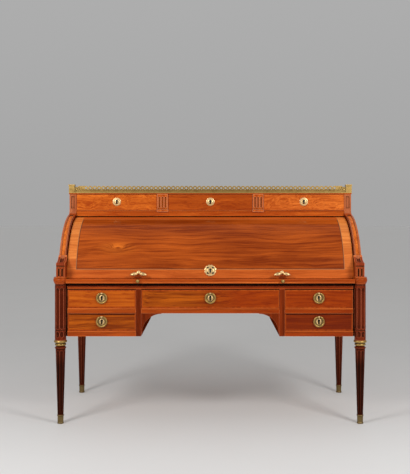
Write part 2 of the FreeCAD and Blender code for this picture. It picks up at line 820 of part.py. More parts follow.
def sector(radii, angles):
    """Outline in Y and Z of a curved strip between two radii and two angles."""
    centre = (dim.cylinder_axis_y, dim.cylinder_axis_z)
    inner, outer = radii
    low, high = angles
    return [
        corner(*on_circle(outer, high)),
        corner(*on_circle(outer, low), centre),
        corner(*on_circle(inner, low)),
        corner(*on_circle(inner, high), centre, anticlockwise=False),
    ]


STILE_CHANNEL_LOW = 25
STILE_CHANNEL_HIGH = 82
CHANNEL_EDGE = 9
CHANNEL_DEPTH = 4


def upper_sides():
    """Sides whose front is a pilaster above and a quarter round below, with sunken faces."""
    thickness = dim.side_outer_x - dim.side_inner_x
    axis = (dim.cylinder_axis_y, dim.cylinder_axis_z)
    foot_y = dim.front_axis_y + dim.column_radius

    def height_at(radius, y):
        return axis[1] + root(radius * radius - (axis[0] - y) * (axis[0] - y))

    radius = dim.stile_radius
    back_cap_y = dim.back_axis_y - dim.column_radius
    cove_y = dim.upper_front_y - dim.pilaster_cove
    cove_z = height_at(radius + dim.pilaster_cove, cove_y)
    share = radius / (radius + dim.pilaster_cove)
    cove_foot = (axis[0] - (axis[0] - cove_y) * share, axis[1] + (cove_z - axis[1]) * share)
    face = [
        corner(foot_y, dim.side_joint_z),
        corner(back_cap_y, dim.side_joint_z),
        corner(back_cap_y, dim.moulding_top_z),
        corner(dim.side_back_y, dim.moulding_top_z),
        corner(dim.side_back_y, dim.side_top_z),
        corner(dim.upper_front_y, dim.side_top_z),
        corner(dim.upper_front_y, cove_z),
        corner(*cove_foot, (cove_y, cove_z), anticlockwise=False),
        corner(foot_y, height_at(radius, foot_y), axis),
    ]
    body = padded("upper_right_side", "YZ_Plane", face, thickness)
    edge, depth = CHANNEL_EDGE, CHANNEL_DEPTH
    channel_width = thickness - 2 * edge
    channel = outline(
        body,
        "channel_section",
        "YZ_Plane",
        sector((radius - depth, radius + depth), (as_size(STILE_CHANNEL_LOW), as_size(STILE_CHANNEL_HIGH))),
        (0, 0, edge + channel_width),
    )
    feature(body, "Pocket", "stile_channel", channel, channel_width)
    flute_face = rectangle((edge, edge + channel_width), (dim.side_top_z - 80, dim.side_top_z - 12))
    pilaster = outline(body, "pilaster_section", "XZ_Plane", flute_face, (0, 0, -dim.upper_front_y))
    feature(body, "Pocket", "pilaster_channel", pilaster, depth)
    margin = 50
    inner_radius = radius - margin
    corner_y = axis[0] + 20
    panel_low = dim.moulding_top_z + 33
    panel = [
        corner(foot_y + margin, panel_low),
        corner(dim.side_back_y - margin, panel_low),
        corner(dim.side_back_y - margin, dim.side_top_z - margin),
        corner(corner_y, dim.side_top_z - margin),
        corner(corner_y, height_at(inner_radius, corner_y)),
        corner(foot_y + margin, height_at(inner_radius, foot_y + margin), axis),
    ]
    field = outline(body, "upper_side_field", "YZ_Plane", panel, (0, 0, thickness))
    feature(body, "Pocket", "upper_side_panel", field, 5)
    place(body, dim.side_inner_x)
    node(body, "upper_right_side")
    node(mirrored("upper_left", body), "upper_left_side")


def consoles():
    """Fluted blocks on the caps, each with a roll that curls forward from the foot of a curved stile."""
    axis = (dim.cylinder_axis_y, dim.cylinder_axis_z)
    back = dim.front_axis_y + dim.column_radius
    front = back - dim.console_reach
    block_top = dim.moulding_top_z + dim.console_block
    radius, roll, overhang = dim.stile_radius, dim.console_roll, 2
    seat_z = axis[1] + root(radius * radius - (axis[0] - back) * (axis[0] - back))
    roll_centre = (front - overhang + roll, block_top + roll)
    roll_top = roll_centre[1] + roll
    quirk = (roll_centre[0] - roll * 0.5, roll_centre[1] - roll * math.sqrt(0.75))
    crown_y, crown_z = on_circle(radius, as_size(STILE_CHANNEL_LOW))
    run, rise = crown_y - roll_centre[0], crown_z - roll_top
    hollow = (run * run + rise * rise) / (rise * 2)
    hollow_centre = (roll_centre[0], roll_top + hollow)
    section = [
        corner(front, dim.moulding_top_z),
        corner(back, dim.moulding_top_z),
        corner(back, seat_z),
        corner(crown_y, crown_z, axis, anticlockwise=False),
        corner(roll_centre[0], roll_top, hollow_centre, anticlockwise=False),
        corner(*quirk, roll_centre),
        corner(quirk[0], block_top),
        corner(front, block_top),
    ]
    width, spacing, groove_radius = dim.console_width, 17, 4.8
    body = padded("console", "YZ_Plane", section, width)
    first = (width - spacing) / 2
    groove_low = dim.moulding_top_z + 9
    groove = flute(body, "console_flute", (first, groove_low, -front), 32, groove_radius, groove_radius)
    in_a_row(body, "console_flutes", [groove], spacing, 2)

    def under_hollow(angle, depth):
        reach = hollow + depth
        return (hollow_centre[0] + sine(angle) * reach, hollow_centre[1] - cosine(angle) * reach)

    near_roll, past_crown = as_size(10), as_size(66)
    channel = [
        corner(*under_hollow(near_roll, -CHANNEL_DEPTH), hollow_centre, anticlockwise=False),
        corner(*under_hollow(near_roll, CHANNEL_DEPTH)),
        corner(*under_hollow(past_crown, CHANNEL_DEPTH), hollow_centre),
        corner(*under_hollow(past_crown, -CHANNEL_DEPTH)),
    ]
    channel_end = dim.side_outer_x - CHANNEL_EDGE - dim.console_inner_x
    channel_width = dim.side_outer_x - dim.side_inner_x - 2 * CHANNEL_EDGE
    face = outline(body, "console_channel_section", "YZ_Plane", channel, (0, 0, channel_end))
    feature(body, "Pocket", "console_channel", face, channel_width)
    eye_radius, eye_proud = 4.5, 1.2
    eye = ring_outline(body, "roll_eye_circle", "YZ_Plane", *roll_centre, eye_radius, (0, 0, width))
    feature(body, "Pad", "roll_eye", eye, eye_proud)
    place(body, dim.console_inner_x)
    node(group("consoles", pair("console", body)), "corner_consoles")


TOP_OVERHANG = 4
DIVIDER_DEPTH = 24


def upper_case():
    """Back, floor with its rail, dividers, and a top of a core, a panel and its framing bands."""
    inside = both_ways(dim.side_inner_x)
    back_y = (dim.upper_back_y, dim.upper_back_y + dim.upper_back_thickness)
    core_low = dim.side_top_z - 12
    node(
        back_panel("upper_back", inside, back_y, (dim.moulding_top_z, core_low)),
        "upper_back_panel",
    )
    rail_z = (dim.upper_rail_low_z, dim.upper_rail_high_z)
    rail = beaded_rail("upper_rail", inside, dim.upper_front_y, dim.upper_rail_depth, rail_z)
    floor_y = (dim.upper_front_y + dim.upper_rail_depth, dim.upper_back_y)
    floor = plank("upper_floor", inside, floor_y, (dim.upper_floor_low_z, dim.upper_rail_high_z))
    node(group("upper_floor_pieces", [rail, floor]), "upper_case_floor")
    dividers(core_low)
    core_y = (dim.upper_front_y + DIVIDER_DEPTH, dim.upper_back_y + dim.upper_back_thickness)
    top_y = (dim.upper_front_y - TOP_OVERHANG, dim.side_back_y + 2)
    panel_y = (top_y[0] + dim.top_band, top_y[1] - dim.top_band)
    panel_half = dim.top_half - dim.top_band
    top_z = (dim.side_top_z, dim.top_z)
    boards = [
        plank("top_core", inside, core_y, (core_low, dim.side_top_z)),
        plank("top_panel", both_ways(panel_half), panel_y, top_z),
        plank("top_front_band", both_ways(dim.top_half), (top_y[0], panel_y[0]), top_z),
        plank("top_back_band", both_ways(dim.top_half), (panel_y[1], top_y[1]), top_z),
    ]
    boards += pair("top_end_band", plank("top_end_band", (panel_half, dim.top_half), panel_y, top_z))
    node(group("top_boards", boards), "top_board")


def dividers(core_low):
    """Triglyph blocks between the upper drawers, each with two partition boards behind it."""
    proud, spacing = 5, 17
    low, high = dim.upper_rail_high_z, dim.side_top_z
    half = dim.divider_half
    face = rectangle(both_ways(half), (low, high))
    block = padded("triglyph", "XZ_Plane", face, DIVIDER_DEPTH + proud, reverse=True)
    base_wide, base_proud, base_low = 2, 4, 7
    base_face = rectangle(both_ways(half + base_wide), (low - base_low, low + 5))
    base = outline(block, "triglyph_base_face", "XZ_Plane", base_face, (0, 0, base_proud))
    feature(block, "Pad", "triglyph_base", base, base_proud + 1.9, reverse=True)
    groove = flute(block, "triglyph_flute", (-spacing, low + 20, 0), high - low - 40, 5, 5)
    in_a_row(block, "triglyph_flutes", [groove], 2 * spacing, 3)
    place(block, dim.divider_x, dim.upper_front_y - proud)
    thickness = 12
    pieces = pair("triglyph", block)
    behind = (dim.upper_front_y + DIVIDER_DEPTH, dim.upper_back_y)
    for place_name, low_x in (
        ("near", dim.divider_x - half + 1),
        ("far", dim.divider_x + half - 1 - thickness),
    ):
        board = plank(f"{place_name}_partition", (low_x, low_x + thickness), behind, (low, core_low))
        pieces += pair(f"{place_name}_partition", board)
    node(group("divider_pieces", pieces), "triglyph_dividers")


# Brass gallery


BAND_TREAD = 5


def gallery_band(name, length):
    """Moulded band along X, centred: a flat tread below and a bead along each top edge."""
    low, high = dim.top_z, dim.top_z + dim.gallery_band
    inner, outer = -2, dim.gallery_plate + 2
    bead = 2.5
    section = [
        corner(-BAND_TREAD, low),
        corner(dim.gallery_plate + BAND_TREAD, low),
        corner(dim.gallery_plate + BAND_TREAD, low + BAND_TREAD),
        corner(outer, low + BAND_TREAD),
        corner(outer, high - 2 * bead),
        corner(outer, high, (outer, high - bead)),
        corner(inner, high),
        corner(inner, high - 2 * bead, (inner, high - bead)),
        corner(inner, low + BAND_TREAD),
        corner(-BAND_TREAD, low + BAND_TREAD),
    ]
    return place(padded(name + "_band", "YZ_Plane", section, length), -length / 2)


def gallery_strip(name, length):
    """A moulded band along X that carries a row of rings, with a round scroll at each end."""
    band_top = dim.top_z + dim.gallery_band
    thickness, pitch, scroll = dim.gallery_plate, dim.gallery_pitch, dim.gallery_scroll
    root_plate = rectangle(both_ways(length / 2), (band_top - 4, band_top))
    plate = padded(name + "_plate", "XZ_Plane", root_plate, thickness, reverse=True)
    count = math.floor((length - scroll * 4).number / pitch.number)
    first = -pitch * ((count - 1) / 2)
    for kind, part, radius in (("Pad", "ring", dim.gallery_ring), ("Pocket", "hole", dim.gallery_hole)):
        circle = ring_outline(plate, f"{name}_{part}_circle", "XZ_Plane", first, dim.gallery_ring_z, radius)
        one = feature(plate, kind, f"{name}_{part}", circle, thickness, reverse=kind == "Pad")
        in_a_row(plate, f"{name}_{part}s", [one], pitch * (count - 1), count)
    step, hollow = 3, scroll - 3
    boss = scroll / 3
    disc = turned(
        name + "_scroll",
        [
            corner(0, 0),
            corner(scroll, 0),
            corner(scroll, thickness + step),
            corner(hollow, thickness + step),
            corner(hollow, thickness + 1),
            corner(boss + 2, thickness + 1),
            corner(boss, thickness + step),
            corner(0, thickness + step + 1),
        ],
    )
    place(disc, length / 2 - scroll, thickness, band_top + 1, FACE_FORWARD)
    return fused(name, [plate, gallery_band(name, length), *pair(name + "_scroll", disc)])


def gallery():
    """Strips of rings along the front and both sides, and posts at the corners."""
    outer = dim.top_half
    width = dim.post_width
    front = dim.upper_front_y - TOP_OVERHANG
    back = dim.side_back_y + 2
    strip = gallery_strip("gallery_front", (outer - width) * 2)
    place(strip, 0, front + BAND_TREAD)
    side_run = back - front - width * 2
    side = gallery_strip("gallery_side", side_run)
    place(side, outer - BAND_TREAD, (front + back) / 2, 0, FreeCAD.Rotation(Vector(0, 0, 1), 90))
    pieces = [strip] + pair("gallery_side", side)
    swell, cap = 2, 6
    section = rectangle((outer - width, outer), (front, front + width))
    post = padded("gallery_post", "XY_Plane", section, dim.post_high_z - dim.top_z)
    cap_section = rectangle((outer - width - swell, outer + swell), (front - swell, front + width + swell))
    height = dim.post_high_z - dim.top_z
    cap_sketch = outline(post, "post_cap_section", "XY_Plane", cap_section, (0, 0, height - 1))
    feature(post, "Pad", "post_cap", cap_sketch, cap + 1)
    place(post, 0, 0, dim.top_z)
    pieces += pair("gallery_post", post)
    back_post = mirrored("gallery_back_post", post, Vector(0, 1, 0), (front + back) / 2)
    pieces += pair("gallery_back_post", back_post)
    node(group("gallery_pieces", pieces), "gallery")


# Cylinder


def lower_edge(radius):
    """Where a radius of the shut cylinder meets its flat lower edge."""
    rise = dim.cylinder_low_z - dim.cylinder_axis_z
    return (dim.cylinder_axis_y - root(radius * radius - rise * rise), dim.cylinder_low_z)


def flat_footed(radii, high):
    """A curved strip from the cylinder's flat lower edge up to an angle."""
    section = sector(radii, (high, high))
    centre = (dim.cylinder_axis_y, dim.cylinder_axis_z)
    section[1] = corner(*lower_edge(radii[1]), centre)
    section[2] = corner(*lower_edge(radii[0]))
    return section


def cylinder():
    """Curved core, its flush veneers and the iron arms it turns on."""
    half = dim.cylinder_half
    core_outer = dim.cylinder_radius - dim.veneer
    core_inner = core_outer - dim.cylinder_core
    top = dim.cylinder_top_angle
    veneers = (core_outer, dim.cylinder_radius)
    core = padded("cylinder_core", "YZ_Plane", flat_footed((core_inner, core_outer), top), half * 2)
    node(place(core, -half), "cylinder_panel")
    field_angles = (dim.bottom_band_angle, dim.top_band_angle)
    field_half = half - dim.crossband_width
    field = padded("field", "YZ_Plane", sector(veneers, field_angles), field_half * 2)
    node(place(field, -field_half), "cylinder_field")
    side_angles = (dim.bottom_band_angle, top)
    side = padded("crossband", "YZ_Plane", sector(veneers, side_angles), dim.crossband_width)
    place(side, field_half)
    node(group("crossbands", pair("crossband", side)), "cylinder_crossbands")
    bottom = padded("bottom_band", "YZ_Plane", flat_footed(veneers, dim.bottom_band_angle), half * 2)
    place(bottom, -half)
    upper = padded("top_band", "YZ_Plane", sector(veneers, (dim.top_band_angle, top)), field_half * 2)
    place(upper, -field_half)
    node(group("end_bands", [bottom, upper]), "cylinder_end_bands")
    pivot_arms(core_inner)


def pivot_arms(core_inner):
    """Iron arms under the cylinder's ends, each with a rim strap, a hub and a pin in its bush."""
    axis = (dim.cylinder_axis_y, dim.cylinder_axis_z)
    rim_inner, spread = core_inner - 8, 24
    angle = dim.arm_angle
    arm = padded(
        "arm",
        "YZ_Plane",
        sector((rim_inner, core_inner), (angle - spread, angle + spread)),
        dim.arm_thickness,
    )
    taper, root_radius = 2.2, 16
    bar = [
        corner(*on_circle(rim_inner + 2, angle + taper)),
        corner(*on_circle(rim_inner + 2, angle - taper)),
        corner(*on_circle(as_size(root_radius), angle - 60)),
        corner(*on_circle(as_size(root_radius), angle + 60)),
    ]
    feature(arm, "Pad", "arm_bar", outline(arm, "arm_bar_face", "YZ_Plane", bar), dim.arm_thickness)
    hub = ring_outline(arm, "hub_circle", "YZ_Plane", *axis, dim.arm_hub_radius)
    feature(arm, "Pad", "arm_hub", hub, dim.arm_thickness)
    pin = ring_outline(arm, "pin_circle", "YZ_Plane", *axis, dim.pin_radius)
    pin_end = dim.side_inner_x + dim.bush_length - 1
    feature(arm, "Pad", "arm_pin", pin, pin_end - dim.arm_inner_x)
    place(arm, dim.arm_inner_x)
    node(group("arms", pair("arm", arm)), "cylinder_arms")
    flange = 3
    bore = dim.pin_radius + dim.pin_clearance
    half = [
        corner(bore, 0),
        corner(dim.bush_radius, 0),
        corner(dim.bush_radius, dim.bush_length),
        corner(dim.bush_radius + 4, dim.bush_length),
        corner(dim.bush_radius + 4, dim.bush_length + flange),
        corner(bore, dim.bush_length + flange),
    ]
    bush = turned("bush", half)
    inward = FreeCAD.Rotation(Vector(0, 1, 0), -90)
    place(bush, dim.side_inner_x + dim.bush_length, *axis, inward)
    node(group("bushes", pair("bush", bush)), "pivot_bushes")


def tangent_rotation(rise):
    """Turn that faces a mount outwards from the cylinder at a height above its axis."""
    slope = math.degrees(math.asin(rise.number / dim.cylinder_radius.number))
    return FreeCAD.Rotation(Vector(1, 0, 0), 90 - slope)


def off_face(rise, out, up=0):
    """A place in Y and Z: out from the cylinder's face at a height above its axis, then up along it."""
    radius = dim.cylinder_radius
    level = rise / radius
    across = root(radius * radius - rise * rise) / radius
    reach = radius + out
    return (
        dim.cylinder_axis_y - across * reach + level * up,
        dim.cylinder_axis_z + level * reach + across * up,
    )


def drum(name, radius):
    """A round solid about the cylinder's axis, to shape what is seated on the cylinder."""
    solid = document.addObject("Part::Cylinder", name)
    bind(solid, "Radius", radius)
    bind(solid, "Height", dim.cylinder_half * 2)
    sideways = FreeCAD.Rotation(Vector(0, 1, 0), 90)
    return place(solid, -dim.cylinder_half, dim.cylinder_axis_y, dim.cylinder_axis_z, sideways)


SEAT_DEPTH = 4


def pull_branch(name, start, droop, corners):
    """One turned length of a pull, drooping sideways from a place along and up the face."""
    along, out, up = start
    sideways = FreeCAD.Rotation(Vector(0, 1, 0), 90)
    lower = FreeCAD.Rotation(Vector(0, 0, 1), -droop)
    facing = tangent_rotation(dim.pull_rise).multiply(lower).multiply(sideways)
    return place(turned(name, corners), dim.pull_x + along, *off_face(dim.pull_rise, out, up), facing)


def cylinder_pulls():
    """Two pulls, each a stem whose peak spreads into two drooping necks that end in acorns."""
    peak = 29
    stem = turned(
        "pull_stem",
        [
            corner(0, 0),
            corner(11, 0),
            corner(11, SEAT_DEPTH + 3),
            corner(7.5, SEAT_DEPTH + 6),
            corner(6.5, SEAT_DEPTH + 20),
            corner(8.5, SEAT_DEPTH + peak - 3),
            corner(8.5, SEAT_DEPTH + peak + 3, (6, SEAT_DEPTH + peak)),
            corner(0, SEAT_DEPTH + peak + 7),
        ],
    )
    place(stem, dim.pull_x, *off_face(dim.pull_rise, -SEAT_DEPTH), tangent_rotation(dim.pull_rise))
    neck_length, neck_droop, acorn_droop = 14, 40, 9
    neck_along = neck_length * math.cos(math.radians(neck_droop))
    neck_fall = neck_length * math.sin(math.radians(neck_droop))
    neck = pull_branch(
        "pull_neck",
        (0, peak, 0),
        neck_droop,
        [
            corner(0, 0),
            corner(8.2, 0),
            corner(6.8, neck_length * 0.6),
            corner(7, neck_length),
            corner(0, neck_length + 3),
        ],
    )
    acorn = pull_branch(
        "pull_acorn",
        (neck_along, peak, -neck_fall),
        acorn_droop,
        [
            corner(0, -5),
            corner(6.9, -2.5),
            corner(10.75, 10, (-4, 7.6)),
            corner(11.6, 10),
            corner(11.6, 13.7),
            corner(10, 13.7),
            corner(5.6, 30, (-15.25, 15.6)),
            corner(0, 35),
        ],
    )
    branches = [stem]
    for piece in (neck, acorn):
        other = document.addObject("Part::Mirroring", piece.Name + "_other")
        other.Source = piece
        other.Normal = Vector(1, 0, 0)
        bind(other, "Base.x", dim.pull_x)
        branches += [piece, other]
    pull = cut("pull", fused("pull_branches", branches), drum("pull_seat", dim.cylinder_radius))
    node(group("pulls", pair("pull", pull)), "cylinder_handles")


def cylinder_lock():
    """The pierced rosette with its keyhole, and the lock case behind it."""
    radius, thickness, lobes = 30.5, 7.5, 12
    rosette = scalloped_plate("rosette", radius, thickness, lobes)
    piercing_out, piercing_radius, piercings = radius * 0.6, 3.3, 4
    diagonal = piercing_out * math.sqrt(0.5)
    circle = ring_outline(
        rosette, "rosette_eye_circle", "XY_Plane", diagonal, diagonal, piercing_radius, (0, 0, thickness)
    )
    piercing = feature(rosette, "Pocket", "rosette_eye_piercing", circle, thickness)
    round_and_round(rosette, "rosette_piercings", piercing, piercings)
    place(rosette, 0, *off_face(dim.rosette_rise, -SEAT_DEPTH), tangent_rotation(dim.rosette_rise))
    seated = cut("seated_rosette", rosette, drum("rosette_seat", dim.cylinder_radius))
    lock_back = dim.cylinder_axis_y - dim.cylinder_radius + 58
    lock = plank("cylinder_lock_case", both_ways(as_size(45)), (lock_back - 24, lock_back), (755, 800))
    fitted = document.addObject("Part::Common", "fitted_lock")
    fitted.Base = lock
    fitted.Tool = drum("lock_room", dim.cylinder_radius - dim.veneer - dim.cylinder_core)
    node(group("cylinder_brass", [seated, fitted]), "cylinder_fittings")


# Drawers and their brass


KEY_EYE = 4.2
KEY_EYE_RISE = 4.6
KEY_SLOT = 2.2
KEY_FOOT = 10.5


def keyhole(body, name, height):
    """Pierce a plate with a keyhole: a round eye over a slot."""
    circle = ring_outline(body, name + "_key_eye", "XY_Plane", 0, KEY_EYE_RISE, KEY_EYE, (0, 0, height))
    feature(body, "Pocket", name + "_key_eye_hole", circle, height)
    slot_face = rectangle(both_ways(KEY_SLOT), (-KEY_FOOT, KEY_EYE_RISE - KEY_EYE / 2))
    sketch = outline(body, name + "_key_slot", "XY_Plane", slot_face, (0, 0, height))
    feature(body, "Pocket", name + "_key_slot_hole", sketch, height)


def key_bore(name, x, y, z):
    """What a keyhole takes out of a drawer front that lies between two depths."""
    eye = document.addObject("Part::Cylinder", name + "_key_bore")
    bind(eye, "Radius", KEY_EYE)
    bind(eye, "Height", y[1] - y[0])
    place(eye, x, y[1], z + KEY_EYE_RISE, FACE_FORWARD)
    slot = plank(name + "_key_way", (x - KEY_SLOT, x + KEY_SLOT), y, (z - KEY_FOOT, z + KEY_EYE_RISE))
    return fused(name + "_key_room", [eye, slot])


def scalloped_plate(name, radius, thickness, scallops):
    """A dished round plate with a scalloped rim, a raised boss and a keyhole."""
    boss = radius * 0.48
    body = turned(
        name,
        [
            corner(0, 0),
            corner(radius, 0),
            corner(radius, thickness - 2),
            corner(radius - 3, thickness - 0.8),
            corner(boss + 3, thickness - 1.4),
            corner(boss, thickness),
            corner(0, thickness),
        ],
    )
    notch_radius = radius * 0.1
    notch = ring_outline(body, name + "_notch_circle", "XY_Plane", radius, 0, notch_radius, (0, 0, thickness))
    pocket = feature(body, "Pocket", name + "_notch", notch, thickness)
    round_and_round(body, name + "_scallops", pocket, scallops)
    keyhole(body, name, thickness)
    return body


def drawer_box(name, x, z, front_y, depth, side_drop, front_thickness, key_z=None):
    """A drawer of five boards: the front, pierced for its key, two sides, a back and a bottom."""
    behind = front_y + front_thickness
    end = behind + depth
    front = plank(name + "_front", x, (front_y, behind), z)
    middle = (x[0] + x[1]) / 2
    if key_z is not None:
        front = cut(name + "_pierced_front", front, key_bore(name, middle, (front_y, behind), key_z))
    inset = 3
    wall = dim.wall
    left = (x[0] + inset, x[0] + inset + wall)
    right = (x[1] - inset - wall, x[1] - inset)
    side_z = (z[0] + 0.8, z[1] - side_drop)
    between = (left[1], right[0])
    bottom_z = (z[0] + 4, z[0] + 4 + dim.board)
    boards = [
        front,
        plank(name + "_left_wall", left, (behind, end), side_z),
        plank(name + "_right_wall", right, (behind, end), side_z),
        plank(name + "_back", between, (end - wall, end), (bottom_z[1], side_z[1])),
        plank(name + "_bottom", between, (behind, end), bottom_z),
    ]
    return group(name + "_boards", boards)


def lock_case(name, x, back_y, top_z):
    half = as_size(30)
    return plank(name, (x - half, x + half), (back_y, back_y + 14), (top_z - 50, top_z - 6))


def ring_plate(name, x, z, front_y):
    """Small keyhole plate and the eye that the ring pull swings in."""
    plate = scalloped_plate(name + "_plate", 15.5, 2.6, 20)
    place(plate, x, front_y, z, FACE_FORWARD)
    eye_outer, half_width = 5.2, 4
    stand = dim.ring_stand
    hinge_z = z + dim.ring_hinge_rise
    eye = new_body(name + "_eye")
    stem = outline(
        eye,
        name + "_stem_face",
        "YZ_Plane",
        rectangle((-stand - 3, 0), (-3.6, 3.6)),
    )
    feature(eye, "Pad", name + "_stem", stem, 2 * half_width)
    ring = ring_outline(eye, name + "_eye_circle", "YZ_Plane", -stand, 0, eye_outer)
    feature(eye, "Pad", name + "_eye_ring", ring, 2 * half_width)
    bore = ring_outline(
        eye,
        name + "_eye_bore_circle",
        "YZ_Plane",
        -stand,
        0,
        dim.hinge_radius + dim.pin_clearance,
        (0, 0, 2 * half_width),
    )
    feature(eye, "Pocket", name + "_eye_bore", bore, 2 * half_width)
    place(eye, x - half_width, front_y, hinge_z)
    return [plate, eye]


def pull_ring(name, x, z, front_y):
    """A round ring with a straight journal at its top."""
    ring = new_body(name)
    circle = ring_outline(ring, name + "_circle", "XZ_Plane", dim.ring_radius, 0, dim.ring_section)
    feature(ring, "Revolution", name + "_round", circle)
    half_gap = 8.5
    clear = outline(
        ring,
        name + "_gap_face",
        "XY_Plane",
        rectangle((-half_gap, half_gap), (dim.ring_radius - 9, dim.ring_radius + 9)),
        (0, 0, 9),
    )
    feature(ring, "Pocket", name + "_gap", clear, 18)
    journal = ring_outline(
        ring,
        name + "_journal_circle",
        "YZ_Plane",
        dim.ring_hinge_rise,
        0,
        dim.hinge_radius,
        (0, 0, -half_gap - 1),
    )
    feature(ring, "Pad", name + "_journal", journal, 2 * half_gap + 2)
    return place(ring, x, front_y - dim.ring_stand, z, FACE_FORWARD)


def frieze_drawers():
    """Centre drawer and two drawers in each pedestal, with ring pulls and locks."""
    front_y = dim.frame_front_y + dim.front_recess
    behind = front_y + dim.front_thickness
    depth = 615
    gap = dim.gap
    pedestal_x = (dim.knee_half + dim.stile_width + gap, dim.post_inner_x - gap)
    high_z = (dim.mid_rail_high_z + 1, dim.top_rail_low_z - 5.5)
    low_z = (dim.bottom_rail_high_z + 1, dim.mid_rail_low_z - gap)
    centre_x = both_ways(dim.knee_half - gap)
    ring_x = (pedestal_x[0] + pedestal_x[1]) / 2
    middle = as_size(0)
    rows = [
        ("centre_drawer", centre_x, high_z, middle, dim.frieze_key_z),
        ("right_top_drawer", pedestal_x, high_z, ring_x, dim.frieze_key_z),
        ("right_bottom_drawer", pedestal_x, low_z, ring_x, dim.lower_key_z),
    ]
    for name, x, z, at_x, ring_z in rows:
        box = drawer_box(name, x, z, front_y, depth, 9, dim.front_thickness, ring_z)
        brass = ring_plate(name, at_x, ring_z, front_y)
        brass.append(lock_case(name + "_lock_case", at_x, behind, z[1]))
        fittings = group(name + "_brass", brass)
        ring = pull_ring(name + "_pull", at_x, ring_z, front_y)
        for piece, ending in ((box, ""), (fittings, "_lock"), (ring, "_ring")):
            node(piece, name + ending)
            if name != "centre_drawer":
                copy = mirrored(piece.Name + "_left", piece)
                node(copy, name.replace("right", "left") + ending)


def upper_drawers():
    """Three drawers under the top, each with a scalloped escutcheon."""
    front_y = dim.upper_front_y + 1
    thickness = as_size(20)
    gap = dim.gap
    z = (dim.upper_rail_high_z + 1, dim.side_top_z - gap)
    side_x = (dim.divider_x + dim.divider_half + gap, dim.side_inner_x - gap)
    middle_x = both_ways(dim.divider_x - dim.divider_half - gap)
    key_z = dim.upper_key_z
    rows = [
        ("upper_middle_drawer", middle_x, as_size(0)),
        ("upper_right_drawer", side_x, (side_x[0] + side_x[1]) / 2),
    ]
    for name, x, at_x in rows:
        box = drawer_box(name, x, z, front_y, 300, 26, thickness, key_z)
        plate = scalloped_plate(name + "_escutcheon", 23.5, 3.4, 12)
        place(plate, at_x, front_y, key_z, FACE_FORWARD)
        case = lock_case(name + "_lock_case", at_x, front_y + thickness, z[1] - 8)
        fittings = group(name + "_brass", [plate, case])
        for piece, ending in ((box, ""), (fittings, "_lock")):
            node(piece, name + ending)
            if name != "upper_middle_drawer":
                copy = mirrored(piece.Name + "_left", piece)
                node(copy, name.replace("right", "left") + ending)


# Fitted interior


def fitted_interior():
    """Pigeonholes over two small drawers and an open middle, on a base held by the sides."""
    half, board, end = dim.case_half, dim.case_board, dim.case_end
    front, back = dim.case_front_y, dim.case_back_y
    base_z = (dim.case_base_z - 10, dim.case_base_z)
    wide_y = dim.cylinder_axis_y + 55
    boards = [
        plank("case_base_front", both_ways(half), (front - 4, wide_y), base_z),
        plank("case_base_back", both_ways(dim.cap_inner_x), (wide_y, dim.lower_back_y), base_z),
    ]
    inner = half - end
    ceiling = dim.case_top_z - end
    shelf_top = dim.case_shelf_z + board
    depth = (front, back - board)
    end_board = plank("case_end_board", (inner, half), (front, back), (dim.case_base_z, ceiling))
    boards += pair("case_end_board", end_board)
    boards.append(plank("case_top", both_ways(half), (front, back), (ceiling, dim.case_top_z)))
    boards.append(plank("case_back", both_ways(inner), (back - board, back), (dim.case_base_z, ceiling)))
    boards.append(plank("case_shelf", both_ways(inner), depth, (dim.case_shelf_z, shelf_top)))
    cheek_x = (dim.cupboard_half, dim.cupboard_half + board)
    boards += pair("case_cheek", plank("case_cheek", cheek_x, depth, (dim.case_base_z, dim.case_shelf_z)))
    spacing = inner / 3
    hole_y = (front + 10, back - board)
    for number in range(3):
        x = spacing * number
        wall = plank(f"pigeon_wall_{number}", (x - board / 2, x + board / 2), hole_y, (shelf_top, ceiling))
        boards += [wall] if number == 0 else pair(f"pigeon_wall_{number}", wall)
    node(group("case_boards", boards), "interior_case")
    gap = dim.gap
    x = (cheek_x[1] + gap, inner - gap)
    z = (dim.case_base_z + gap, dim.case_shelf_z - gap)
    box = drawer_box("right_inner", x, z, front + 1, 180, 8, as_size(12))
    knob = turned(
        "inner_knob",
        [
            corner(0, 0),
            corner(5, 0),
            corner(5, 1),
            corner(2.4, 3),
            corner(2.4, 5),
            corner(5.5, 9),
            corner(4, 12, (2.5, 9)),
            corner(0, 13),
        ],
    )
    place(knob, (x[0] + x[1]) / 2, front + 1, (z[0] + z[1]) / 2, FACE_FORWARD)
    drawer = group("right_inner_with_knob", [box, knob])
    node(drawer, "right_inner_drawer")
    node(mirrored("left_inner_with_knob", drawer), "left_inner_drawer")


# Build, test and write


def build():
    legs()
    collars()
    foot_caps()
    lower_sides()
    front_frame()
    pedestals()
    table()
    writing_slide()
    upper_sides()
    consoles()
    upper_case()
    gallery()
    cylinder()
    cylinder_pulls()
    cylinder_lock()
    frieze_drawers()
    upper_drawers()
    fitted_interior()
    document.recompute()


def test():
    """Stop if any object failed, a cut took nothing away, or a piece's shape isn't sound."""
    for thing in document.Objects:
        if {"Invalid", "Error"} & set(thing.State):
            raise RuntimeError(f"{thing.Name} failed: {thing.State}")
        if thing.TypeId in ("PartDesign::Pocket", "PartDesign::Groove"):
            before = thing.BaseFeature.Shape.Volume
            if thing.Shape.Volume > before - 1e-3:
                raise RuntimeError(f"{thing.Name} cuts nothing")
    for piece in nodes:
        if piece.Shape.isNull() or not piece.Shape.isValid() or not piece.Shape.Solids:
            raise RuntimeError(f"{piece.Label} has no sound shape")


def write():
    os.makedirs("parts", exist_ok=True)
    for piece in nodes:
        piece.Shape.exportStep(f"parts/{piece.Label}.step")


build()
test()
write()
print(f"{len(nodes)} pieces written")
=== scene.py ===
"""Looks of a cylinder desk: polished mahogany, golden crossbanding and aged brass."""

import json
import math

